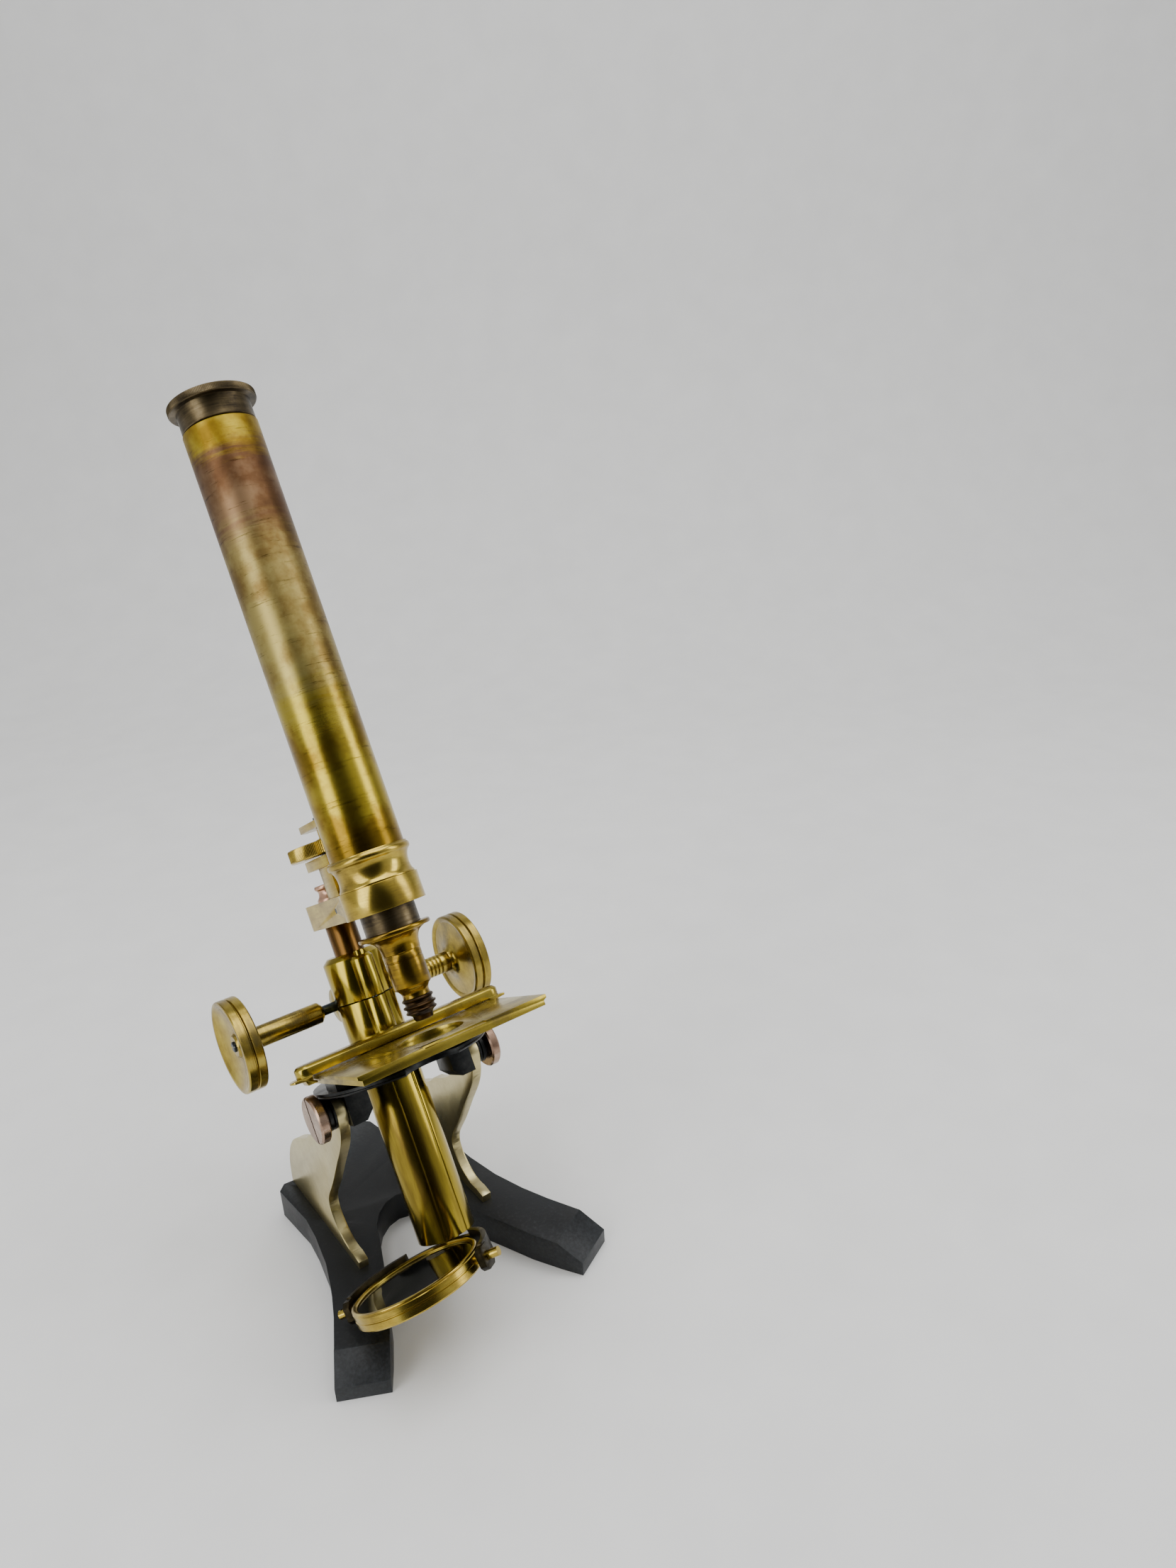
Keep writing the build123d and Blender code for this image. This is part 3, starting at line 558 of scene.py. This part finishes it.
@dataclass(frozen=True)
class Japanning:
    """Blue-black baked varnish on cast iron: satin, slightly uneven, rubbed to grey along its edges."""

    name: str = "japanned_cast_iron"

    def build(self) -> bpy.types.Material:
        """Make the material.

        Returns:
            The material, or the one made before.
        """
        if self.name in bpy.data.materials:
            return bpy.data.materials[self.name]
        material = bpy.data.materials.new(self.name)
        material.use_nodes = True
        tree = material.node_tree
        shader = tree.nodes["Principled BSDF"]
        where = add(tree, "TexCoord").outputs["Object"]
        cloud = add(tree, "TexNoise", {"Scale": per_mm(22.0), "Detail": 6.0, "Roughness": 0.6}, {"Vector": where})
        grain = add(tree, "TexNoise", {"Scale": per_mm(1.6), "Detail": 5.0, "Roughness": 0.65}, {"Vector": where})
        body = ramp(tree, cloud.outputs["Fac"], [(0.3, "#050608"), (0.55, "#0a0d11"), (0.75, "#13171c")])
        worn = add(tree, "NewGeometry").outputs["Pointiness"]
        rub = add(tree, "Math", {1: 0.10}, {0: grain.outputs["Fac"], 2: worn}, operation="MULTIPLY_ADD")
        edge = add(tree, "MapRange", {"From Min": 0.585, "From Max": 0.66}, {"Value": rub.outputs[0]})
        final = add(tree, "Mix", data_type="RGBA", links={0: edge.outputs["Result"], 6: body})
        final.inputs[7].default_value = linear("#34383b")
        tree.links.new(final.outputs[2], shader.inputs["Base Color"])
        rough = add(tree, "MapRange", {"From Min": 0.3, "From Max": 0.7, "To Min": 0.34, "To Max": 0.56},
                    {"Value": cloud.outputs["Fac"]})
        tree.links.new(rough.outputs["Result"], shader.inputs["Roughness"])
        bumps = add(tree, "Bump", {"Strength": 0.25, "Distance": 0.0003}, {"Height": grain.outputs["Fac"]})
        tree.links.new(bumps.outputs["Normal"], shader.inputs["Normal"])
        shader.inputs["Metallic"].default_value = 0.0
        shader.inputs["Specular IOR Level"].default_value = 0.35
        return material


@dataclass(frozen=True)
class Glass:
    """Ground and polished glass with a faint green tint."""

    name: str = "crown_glass"
    tint: str = "#e3ece6"

    def build(self) -> bpy.types.Material:
        """Make the material.

        Returns:
            The material, or the one made before.
        """
        if self.name in bpy.data.materials:
            return bpy.data.materials[self.name]
        material = bpy.data.materials.new(self.name)
        material.use_nodes = True
        tree = material.node_tree
        shader = tree.nodes["Principled BSDF"]
        where = add(tree, "TexCoord").outputs["Object"]
        dust = add(tree, "TexNoise", {"Scale": per_mm(4.0), "Detail": 4.0}, {"Vector": where})
        haze = add(tree, "MapRange", {"From Min": 0.4, "From Max": 0.7, "To Min": 0.02, "To Max": 0.09},
                   {"Value": dust.outputs["Fac"]})
        tree.links.new(haze.outputs["Result"], shader.inputs["Roughness"])
        shader.inputs["Base Color"].default_value = linear(self.tint)
        shader.inputs["Transmission Weight"].default_value = 1.0
        shader.inputs["IOR"].default_value = 1.52
        return material


# Turned and polished brass: small tarnish clouds, lines round the tube's axis.
CLEAN_BRASS = Metal("polished_brass", "#c6b051", "#ab933f", "#877235", 0.42, (0.13, 0.30), Lay.TUBE)
# The same brass turned on the pinion's axis, so its lines run round that axis.
CROSS_BRASS = Metal("cross_turned_brass", "#bda94f", "#a18b3f", "#77683a", 0.45, (0.16, 0.32), Lay.CROSS)
# Drawn and lacquered brass: lines and clouds stretched along the limb.
PILLAR_BRASS = Metal("drawn_brass", "#b29c38", "#98852f", "#685624", 0.42, (0.11, 0.26), Lay.ALONG)
# Brass sheet rubbed pale: wide faint clouds and almost no relief.
PALE_BRASS = Metal("rubbed_brass_sheet", "#c6bb8b", "#b8ab7b", "#9c9066", 0.3, (0.24, 0.38), Lay.FLAT, 42.0, 1.6, 0.03)
# Handled brass of the stage: olive tarnish in middling clouds.
AGED_BRASS = Metal("olive_aged_brass", "#b09d42", "#998635", "#6f6132", 0.42, (0.16, 0.34), Lay.FLAT, 14.0)
# Warmer lacquer on the objective.
OBJECTIVE_BRASS = Metal("objective_brass", "#aa8a2e", "#896e22", "#5a4620", 0.5, (0.14, 0.30), Lay.TUBE)
# Oxidised grey-brown bronze of the eyepiece and the nose.
DARK_BRONZE = Metal("oxidised_bronze", "#6b5f49", "#544934", "#2d271f", 0.55, (0.24, 0.46), Lay.TUBE)
# Redder oxide on the objective's cell.
BROWN_BRONZE = Metal("brown_bronze", "#5c442a", "#40301f", "#1f1812", 0.5, (0.22, 0.42), Lay.TUBE)
# Rough blackened bronze of the mirror's fork.
FORK_BRONZE = Metal("blackened_fork_bronze", "#433a28", "#2b2619", "#15130d", 0.5, (0.30, 0.52), Lay.ROUND, 8.0)
# Chemically blackened brass of the cradle: matt, with small clouds. On the stage pillars it is painted shade, the dark
# under the stage.
BLACKENED = Metal("chemically_blackened_brass", "#3a3a38", "#2a2b2b", "#191a1b", 0.45, (0.26, 0.46), Lay.ROUND, 10.0)
# Copper-rich bronze of the stem's nut.
COPPER = Metal("copper_bronze", "#c08e63", "#a06c46", "#6a4630", 0.4, (0.14, 0.30), Lay.CROSS)
# Pinkish bronze of the trunnion heads.
HEAD_BRONZE = Metal("pink_bronze_head", "#b9a28e", "#a08571", "#7a6050", 0.4, (0.20, 0.36), Lay.FLAT)
# Brown bronze of the stem, drawn lengthwise.
STEM_BRONZE = Metal("stem_bronze", "#8d6a34", "#6f5026", "#3f2c18", 0.5, (0.16, 0.32), Lay.ALONG)
# Blued steel of screws, pins and the pinion.
BLUED_STEEL = Metal("blued_steel", "#5b6670", "#434b54", "#24282e", 0.45, (0.20, 0.38), Lay.CROSS)
# Aged silvering behind the mirror's glass: nearly smooth, no relief.
SILVERING = Metal("aged_silvering", "#55553d", "#454530", "#302f20", 0.5, (0.03, 0.12), Lay.ROUND, 18.0, 6.0, 0.0)
JAPANNING = Japanning()
GLASS = Glass()
TUBE_LACQUER = TubeLacquer()


def dress(piece: bpy.types.Object, finish: Metal | TubeLacquer | Japanning | Glass) -> bpy.types.Object:
    """Give every face of a piece one finish.

    Args:
        piece: The piece, or a node of the frame.
        finish: The finish.

    Returns:
        The same piece.
    """
    material = finish.build()
    if not piece.material_slots:
        piece.data.materials.append(material)
    for place in piece.material_slots:
        place.material = material
    return piece


# ---------------------------------------------------------------------------------------------
# Sub-assemblies
# ---------------------------------------------------------------------------------------------
@dataclass
class Assembly:
    """Pieces that ride on one body of the frame."""

    body: str

    def fit(self, piece: bpy.types.Object, place: Matrix, finish: object, slot: str, *nodes: str,
            edge: float = 0.0) -> bpy.types.Object:
        """Place a new piece, round its edges, dress it, hang it on its body and hide the nodes it replaces.

        Args:
            piece: The piece, in its own millimetre frame.
            place: The frame it belongs in.
            finish: Its finish.
            slot: The record's material slot; not used.
            *nodes: Nodes of the frame that it replaces.
            edge: Width of the rounding of its edges, in millimetres; 0 leaves them crisp.

        Returns:
            The finished piece.
        """
        shift(piece, place)
        if edge > 0.0:
            soften(piece, edge)
        else:
            smooth(piece)
        return self.book(piece, finish, slot, *nodes)

    def book(self, piece: bpy.types.Object, finish: object, slot: str, *nodes: str) -> bpy.types.Object:
        """Dress a finished piece, hang it on its body and hide the nodes it replaces.

        Args:
            piece: The piece, in metres and in place.
            finish: Its finish.
            slot: The record's material slot; not used.
            *nodes: Nodes of the frame that it replaces.

        Returns:
            The same piece.
        """
        dress(piece, finish)
        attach(piece, self.body)
        if nodes:
            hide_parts(*nodes)
        log.info("%s rides on %s", piece.name, self.body)
        return piece

    def recut(self, node: str, name: str, finish: object, slot: str, edge: float = 0.3) -> bpy.types.Object:
        """Replace a node by a copy with rounded edges.

        Args:
            node: The node of the frame.
            name: The new piece's name.
            finish: Its finish.
            slot: The record's material slot; not used.
            edge: Width of the rounding, in millimetres.

        Returns:
            The new piece.
        """
        return self.book(refined(name, node, edge), finish, slot, node)

    def keep(self, finish: object, *nodes: str) -> None:
        """Dress nodes of the frame whose shape is already right.

        Args:
            finish: The finish.
            *nodes: Their names.
        """
        for node in nodes:
            dress(frame["nodes"][node], finish)
            log.info("%s keeps its shape", node)


@dataclass
class Base(Assembly):
    """Iron foot, the two brass uprights on it and the collars beside them."""

    body: str = "base"
    casting_edge: float = 1.1
    plate_edge: float = 0.35

    def build(self) -> None:
        """Make and dress the pieces."""
        self.recut("foot", "foot_casting", JAPANNING, "japanned_iron", self.casting_edge)
        for side in ("right", "left"):
            self.recut(f"upright_{side}", f"upright_plate_{side}", PALE_BRASS, "lacquered_brass", self.plate_edge)
        self.keep(BLUED_STEEL, "upright_screws")
        self.keep(BLACKENED, "trunnion_washers")


@dataclass
class Trunnions(Assembly):
    """Slotted screws on which the limb leans."""

    body: str = "limb"
    shank: float = 5.0
    head: float = 11.4
    inner: float = 24.0
    seat: float = 43.0
    face: float = 47.8
    slot: float = 1.3

    def build(self) -> None:
        """Make and dress both screws."""
        for flip in (False, True):
            profile = [(0.0, self.inner), (self.shank, self.inner), (self.shank, self.seat),
                       (self.head - 0.7, self.seat), (self.head, self.seat + 0.7), (self.head, self.face - 0.9),
                       (self.head - 0.25, self.face - 0.5), (self.head - 0.8, self.face), (0.0, self.face)]
            screw = lathe("trunnion_screw_left" if flip else "trunnion_screw_right", profile, 96)
            groove = bar("groove", (-12.0, -self.slot / 2, self.face - 1.7), (12.0, self.slot / 2, self.face + 1.0))
            combine(screw, groove)
            self.fit(screw, along_x(0.0, 0.0, flip), HEAD_BRONZE, "copper_bronze", "trunnion_screws")


@dataclass
class Limb(Assembly):
    """Cradle, pillar and tail of the limb."""

    body: str = "limb"
    edge: float = 0.35

    def build(self) -> None:
        """Make and dress the pieces."""
        self.recut("cradle", "cradle_plate", BLACKENED, "blackened_brass", 0.25)
        self.recut("pillar_lower", "pillar_block", PILLAR_BRASS, "lacquered_brass", 0.2)
        self.recut("pillar_cap", "pillar_bearing", PILLAR_BRASS, "lacquered_brass", self.edge)
        self.recut("tail_tube", "tail_sleeve", PILLAR_BRASS, "lacquered_brass", 0.12)
        self.keep(CLEAN_BRASS, "tail_plug", "arm_washer")
        self.keep(BLUED_STEEL, "pillar_screw", "stage_screws")
        # The stage pillars are dressed black as painted shade: the dark between the stage and the cradle is the stage's
        # shadow.
        self.keep(BLACKENED, "stage_pillars")
        self.recut("stage_plate", "stage_top", AGED_BRASS, "aged_brass", 0.3)


@dataclass
class SlideRest(Assembly):
    """Sliding ledge of the stage with its jaws."""

    body: str = "slide_bar"

    def build(self) -> None:
        """Make and dress the pieces."""
        self.recut("slide_bar", "slide_ledge", AGED_BRASS, "lacquered_brass", 0.3)
        self.recut("bar_clips", "ledge_jaws", CLEAN_BRASS, "lacquered_brass", 0.25)
        self.keep(BLUED_STEEL, "bar_screws")


@dataclass
class CoarseFocus(Assembly):
    """Pinion shaft with its sleeves and its two dished and milled heads."""

    body: str = "pinion"
    radius: float = 22.8
    shaft: float = 2.5
    teeth: int = 170

    def head_profile(self) -> list[Point]:
        """Return the outline of a head: flared hub, dished faces, two bands with a groove between."""
        r = self.radius
        return [(self.shaft, 52.0), (5.8, 52.0), (6.1, 53.0), (7.0, 54.2), (8.8, 55.2), (12.5, 56.2), (16.5, 56.7),
                (19.6, 56.7), (20.4, 56.1), (21.9, 55.9), (22.5, 56.2), (r, 56.7), (r, 60.0), (r - 0.4, 60.35),
                (r - 1.1, 60.5), (r - 1.1, 60.9), (r - 0.4, 61.05), (r, 61.4), (r, 64.7), (22.5, 65.2), (21.9, 65.4),
                (20.9, 65.4), (20.3, 65.1), (19.0, 64.3), (16.0, 63.1), (12.5, 62.1), (9.0, 61.5), (6.6, 61.3),
                (5.9, 61.7), (5.5, 62.5), (4.9, 63.0), (self.shaft, 63.0)]

    def build(self) -> None:
        """Make and dress the pieces."""
        for flip, side in ((False, "right"), (True, "left")):
            place = along_x(PINION_Y, PINION_Z, flip)
            head = lathe(f"focus_head_{side}", self.head_profile(), self.teeth * 2)
            mill(head, 56.9, 59.9, self.radius - 0.05, 0.35)
            mill(head, 61.5, 64.5, self.radius - 0.05, 0.35)
            self.fit(head, place, CROSS_BRASS, "lacquered_brass", f"knob_{side}")
            sleeve = lathe(f"shaft_sleeve_{side}", self.sleeve_profile(not flip), 96)
            self.fit(sleeve, place, CROSS_BRASS, "lacquered_brass", f"sleeve_{side}", edge=0.15)
        self.keep(BLUED_STEEL, "pinion", "knob_screws")

    def sleeve_profile(self, ringed: bool) -> list[Point]:
        """Return the outline of a sleeve.

        Args:
            ringed: True for the sleeve with engraved rings near the head.

        Returns:
            The outline.
        """
        start = [(self.shaft, 18.6), (3.6, 18.6), (5.2, 20.2)]
        rings = [(r, x) for k in range(4) for r, x in ((5.2, 40.0 + 2.2 * k), (4.9, 40.2 + 2.2 * k),
                                                       (4.9, 40.5 + 2.2 * k), (5.2, 40.7 + 2.2 * k))]
        return start + (rings if ringed else []) + [(5.2, 52.0), (self.shaft, 52.0)]


@dataclass
class OpticalTube(Assembly):
    """Arm, main tube with its collar, and what is fixed to them."""

    body: str = "carriage"
    radius: float = 17.0
    bore: float = 15.9
    foot: float = 104.0
    top: float = 306.8

    def build(self) -> None:
        """Make and dress the pieces."""
        optic = LIMB @ Matrix.Translation((0.0, OPTIC_Y, 0.0))
        tube = lathe("main_tube", [(self.bore, self.foot), (self.radius, self.foot), (self.radius, 200.0),
                                   (self.radius, self.top - 0.35), (self.radius - 0.3, self.top),
                                   (self.bore, self.top)], 192)
        self.fit(tube, optic, TUBE_LACQUER, "lacquered_brass", "body_tube")
        collar = lathe("tube_seat", self.collar_profile(), 160)
        self.fit(collar, optic, CLEAN_BRASS, "lacquered_brass", "tube_collar", edge=0.1)
        self.recut("arm", "carrying_arm", CLEAN_BRASS, "lacquered_brass", 0.3)
        self.recut("stem", "racked_stem", STEM_BRONZE, "copper_bronze", 0.15)
        nut = lathe("stem_nut", [(4.02, 93.0), (6.6, 93.0), (6.6, 93.9), (6.4, 94.3), (6.0, 94.8), (5.4, 95.6),
                                 (5.1, 96.6), (5.0, 97.6), (5.2, 98.4), (5.6, 98.8), (6.1, 99.1), (6.2, 99.4),
                                 (6.2, 100.4), (6.0, 100.8), (5.6, 101.0), (0.0, 101.0), (0.0, 98.1), (4.02, 98.1)], 96)
        combine(nut, bar("groove", (-8.0, -0.5, 99.8), (8.0, 0.5, 102.0)))
        self.fit(nut, LIMB @ Matrix.Translation((0.0, PILLAR_Y, 0.0)), COPPER, "copper_bronze", "arm_nut")
        self.recut("focus_bracket", "fine_bracket", CLEAN_BRASS, "lacquered_brass", 0.3)
        self.recut("bracket_post", "bracket_block", CLEAN_BRASS, "lacquered_brass", 0.3)
        self.keep(DARK_BRONZE, "tube_lining", "spring_ring")
        self.keep(BLUED_STEEL, "rack", "bracket_screws", "tube_screw", "lever_pin", "nose_spring")

    @staticmethod
    def collar_profile() -> list[Point]:
        """Return the outline of the collar: foot band, hollow neck, flare and bead."""
        return [(13.4, 93.0), (17.3, 93.0), (17.3, 93.7), (17.1, 94.0), (16.8, 94.4), (16.5, 95.2), (16.3, 96.4),
                (16.2, 97.6), (16.3, 99.4), (16.55, 100.8), (16.9, 101.9), (17.4, 102.9), (17.9, 103.5), (18.2, 103.7),
                (18.55, 104.1), (18.75, 104.6), (18.8, 105.2), (18.72, 105.9), (18.4, 106.5), (18.0, 106.8),
                (17.9, 107.4), (17.05, 107.4), (17.05, 104.0), (14.4, 104.0), (13.4, 97.0)]


@dataclass
class Eyepiece(Assembly):
    """Drawing eyepiece with its milled cap."""

    body: str = "eyepiece"

    def build(self) -> None:
        """Make and dress the pieces."""
        optic = LIMB @ Matrix.Translation((0.0, OPTIC_Y, 0.0))
        cap = lathe("eye_cap", [(14.5, 307.4), (16.3, 307.4), (16.6, 307.7), (16.6, 316.4), (16.8, 316.8),
                                (17.4, 317.0), (19.3, 317.0), (19.8, 317.3), (20.0, 317.7), (20.0, 319.9), (19.8, 320.3),
                                (19.3, 320.6), (16.8, 320.6), (16.0, 320.4), (13.5, 319.8), (8.0, 319.3), (6.0, 318.9),
                                (4.9, 318.3), (4.2, 317.6), (4.2, 317.0), (14.5, 317.0)], 360)
        mill(cap, 317.6, 320.0, 19.9, 0.25)
        self.fit(cap, optic, DARK_BRONZE, "dark_bronze", "eyepiece_cap")
        self.keep(DARK_BRONZE, "eyepiece_tube", "field_stop", "lens_rings")
        self.keep(GLASS, "field_lens", "eye_lens")


@dataclass
class Nose(Assembly):
    """Sliding nose tube and the objective it carries."""

    body: str = "nose"

    def build(self) -> None:
        """Make and dress the pieces."""
        optic = LIMB @ Matrix.Translation((0.0, OPTIC_Y, 0.0))
        self.keep(DARK_BRONZE, "nose_tube")
        flange = lathe("objective_flange", [(8.6, 69.4), (15.9, 69.4), (16.3, 69.6), (16.45, 70.1), (16.45, 70.7),
                                            (16.2, 71.2), (15.8, 71.4), (10.55, 71.4), (10.55, 78.0), (8.6, 78.0)],
                       128)
        self.fit(flange, optic, OBJECTIVE_BRASS, "lacquered_brass", "objective_mount")
        barrel = lathe("objective_barrel", self.barrel_profile(), 128)
        self.fit(barrel, optic, OBJECTIVE_BRASS, "lacquered_brass", "objective_body")
        cell = lathe("objective_tip", [(4.3, 40.1), (6.4, 40.1), (6.9, 39.8), (7.15, 39.3), (7.0, 38.8), (6.3, 38.3),
                                       (6.2, 37.4), (6.6, 36.9), (7.3, 36.7), (7.5, 36.3), (7.3, 35.9), (6.4, 35.4),
                                       (6.3, 34.7), (6.6, 34.2), (7.0, 34.0), (7.05, 33.5), (6.6, 33.1), (5.6, 32.7),
                                       (4.7, 31.9), (4.35, 30.0), (4.0, 29.6), (2.6, 29.6), (2.6, 32.2), (4.3, 33.0)],
                     96)
        self.fit(cell, optic, BROWN_BRONZE, "dark_bronze", "objective_cell")
        self.keep(GLASS, "front_lens", "rear_lens")

    @staticmethod
    def barrel_profile() -> list[Point]:
        """Return the outline of the objective's trumpet-necked barrel."""
        return [(6.6, 69.3), (13.4, 69.3), (13.2, 68.9), (12.2, 68.5), (11.2, 68.0), (10.3, 67.1), (9.6, 65.9),
                (9.1, 64.4), (8.8, 62.6), (8.62, 60.8), (8.35, 60.5), (8.35, 60.2), (8.5, 59.9), (8.5, 57.6),
                (8.3, 57.4), (8.3, 57.1), (8.5, 56.9), (8.5, 45.7), (8.1, 44.9), (7.2, 44.2), (6.5, 43.2), (6.1, 42.2),
                (6.05, 41.2), (6.2, 40.2), (4.6, 40.2), (4.6, 58.0), (6.6, 58.0)]


@dataclass
class FineFocus(Assembly):
    """Milled wheel of the fine focus, captive between the plates of its bracket."""

    body: str = "fine_wheel"

    def build(self) -> None:
        """Make and dress the wheel."""
        place = LIMB @ Matrix.Translation((0.0, FINE_Y, 0.0))
        wheel = lathe("fine_focus_wheel", [(2.05, 113.1), (4.6, 113.1), (4.6, 113.8), (18.6, 113.8), (19.2, 114.0),
                                           (19.5, 114.5), (19.5, 119.7), (19.2, 120.2), (18.6, 120.4), (15.6, 120.4),
                                           (15.0, 120.0), (14.5, 119.4), (6.4, 119.4), (5.6, 120.0), (5.0, 121.4),
                                           (3.4, 122.0), (3.4, 125.9), (2.05, 125.9)], 300)
        mill(wheel, 114.5, 119.8, 19.45, 0.35)
        self.fit(wheel, place, CLEAN_BRASS, "lacquered_brass", "fine_wheel")
        for body, node in (("fine_screw", "fine_screw"), ("lever", "fine_lever")):
            Assembly(body).keep(BLUED_STEEL, node)


@dataclass
class MirrorBox(Assembly):
    """Mirror in its turned brass box, with the pins it tips on, the fork and the boss below the tail."""

    body: str = "mirror"
    radius: float = 31.0

    def build(self) -> None:
        """Make and dress the pieces."""
        r = self.radius
        box = lathe("mirror_box", [(0.0, -4.3), (r - 1.4, -4.3), (r - 0.5, -4.0), (r, -3.3), (r, -0.5),
                                   (r - 0.35, -0.25), (r - 0.35, 0.25), (r, 0.5), (r, 2.7), (r - 0.4, 3.1),
                                   (r - 0.4, 3.3), (r - 0.1, 3.6), (r - 0.2, 4.0), (r - 0.8, 4.3), (r - 1.5, 4.3),
                                   (r - 1.8, 4.0), (r - 2.1, 3.65), (r - 2.6, 3.4), (r - 2.6, -2.6), (0.0, -2.6)], 192)
        self.fit(box, MIRROR, CLEAN_BRASS, "lacquered_brass", "mirror_bezel")
        glass = lathe("mirror_disc", [(0.0, -2.6), (r - 2.65, -2.6), (r - 2.65, 2.6), (r - 2.95, 2.9), (0.0, 2.9)], 128)
        self.fit(glass, MIRROR, SILVERING, "mirror_glass", "mirror_glass")
        self.keep(CLEAN_BRASS, "mirror_pins")
        Assembly("gimbal").recut("gimbal", "mirror_fork", FORK_BRONZE, "dark_bronze", 0.35)
        swing = Assembly("mirror_arm")
        swing.recut("mirror_arm", "swing_boss", CLEAN_BRASS, "lacquered_brass", 0.2)
        swing.keep(BLUED_STEEL, "gimbal_screw")


# ---------------------------------------------------------------------------------------------
# Studio
# ---------------------------------------------------------------------------------------------
@dataclass
class Studio:
    """Pale paper sweep, soft lights and the camera."""

    lens: float = 18.05
    film: float = 24.0
    eye: tuple[float, float, float] = (-0.19213, -0.47719, 0.45716)
    right: tuple[float, float, float] = (0.8015, -0.5962, -0.0458)
    up: tuple[float, float, float] = (0.2701, 0.2927, 0.9173)

    def camera(self) -> None:
        """Place the camera."""
        clear_selection()
        bpy.ops.object.camera_add(location=self.eye)
        camera = bpy.context.active_object
        side, top = Vector(self.right).normalized(), Vector(self.up).normalized()
        turn = Matrix((side, top, side.cross(top))).transposed().to_4x4()
        camera.matrix_world = Matrix.Translation(self.eye) @ turn
        camera.data.sensor_fit = "VERTICAL"
        camera.data.sensor_height = self.film
        camera.data.lens = self.lens
        camera.data.clip_start = 0.01
        camera.data.clip_end = 20.0
        bpy.context.scene.camera = camera

    def sweep(self) -> None:
        """Lay the paper sweep: a floor that curves up into a wall behind the object."""
        path = [(-3.0, -3.0, 0.0), (-3.0, 0.75, 0.0)]
        bend, wall = 0.5, 0.75
        for k in range(1, 17):
            a = math.radians(90.0 * k / 16)
            path.append((-3.0, wall + bend * math.sin(a), bend - bend * math.cos(a)))
        path.append((-3.0, wall + bend, 3.0))
        paper = trace("paper_sweep", path)
        bpy.ops.mesh.select_all(action="SELECT")
        bpy.ops.mesh.extrude_region_move(TRANSFORM_OT_translate={"value": (6.0, 0.0, 0.0)})
        bpy.ops.mesh.select_all(action="SELECT")
        bpy.ops.mesh.normals_make_consistent(inside=False)
        leave()
        paper.rotation_euler = (0.0, 0.0, math.radians(-35.5))
        clear_selection()
        paper.select_set(True)
        bpy.context.view_layer.objects.active = paper
        bpy.ops.object.transform_apply(rotation=True)
        smooth(paper, 60.0)
        material = bpy.data.materials.new("white_paper")
        material.use_nodes = True
        tree = material.node_tree
        shader = tree.nodes["Principled BSDF"]
        where = add(tree, "TexCoord").outputs["Object"]
        fibre = add(tree, "TexNoise", {"Scale": per_mm(40.0), "Detail": 6.0}, {"Vector": where})
        tint = ramp(tree, fibre.outputs["Fac"], [(0.3, "#e3e3e2"), (0.7, "#e8e8e7")])
        tree.links.new(tint, shader.inputs["Base Color"])
        shader.inputs["Roughness"].default_value = 0.7
        paper.data.materials.append(material)

    @staticmethod
    def lamp(name: str, place: Sequence[float], aim: Sequence[float], size: Point, power: float,
             colour: str = "#ffffff") -> None:
        """Hang one soft light.

        Args:
            name: Its name.
            place: Where it hangs, in metres.
            aim: The point it faces.
            size: Its width and height.
            power: Its power in watts.
            colour: Its colour.
        """
        clear_selection()
        bpy.ops.object.light_add(type="AREA", location=place)
        lamp = bpy.context.active_object
        lamp.name = name
        lamp.data.shape = "RECTANGLE"
        lamp.data.size, lamp.data.size_y = size
        lamp.data.energy = power
        lamp.data.color = linear(colour)[:3]
        lamp.rotation_euler = (Vector(aim) - Vector(place)).to_track_quat("-Z", "Y").to_euler()

    def lights(self) -> None:
        """Hang the lights and set the surrounding grey."""
        self.lamp("soft_top", (0.1, -0.1, 1.5), (0.0, -0.05, 0.1), (1.4, 1.4), 20.0)
        self.lamp("soft_left", (-1.3, -0.3, 0.7), (0.0, 0.0, 0.15), (0.7, 1.3), 11.0)
        self.lamp("soft_right", (1.2, -0.9, 0.8), (0.0, 0.0, 0.15), (0.5, 1.2), 7.0)
        world = bpy.data.worlds.new("studio")
        bpy.context.scene.world = world
        world.use_nodes = True
        tree = world.node_tree
        backdrop = tree.nodes["Background"]
        ray = add(tree, "TexCoord").outputs["Generated"]
        toward = Vector((-0.5334, -0.7476, 0.1)).normalized()
        facing = add(tree, "VectorMath", {1: tuple(toward)}, {0: ray}, operation="DOT_PRODUCT")
        tone = ramp(tree, facing.outputs["Value"], [(0.0, "#d8d8d8"), (0.55, "#bcbcbc"), (0.80, "#3a3a38"),
                                                    (1.0, "#242423")])
        tree.links.new(tone, backdrop.inputs["Color"])
        backdrop.inputs["Strength"].default_value = 1.05

    def build(self) -> None:
        """Set up the studio."""
        self.camera()
        self.sweep()
        self.lights()


def main() -> None:
    """Build every sub-assembly in order."""
    logging.basicConfig(level=logging.INFO, format="%(name)s: %(message)s")
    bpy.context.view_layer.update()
    Studio().build()
    for assembly in (Base(), Trunnions(), Limb(), SlideRest(), CoarseFocus(), OpticalTube(), Eyepiece(), Nose(),
                     FineFocus(), MirrorBox()):
        assembly.build()


if __name__ == "__main__":
    main()
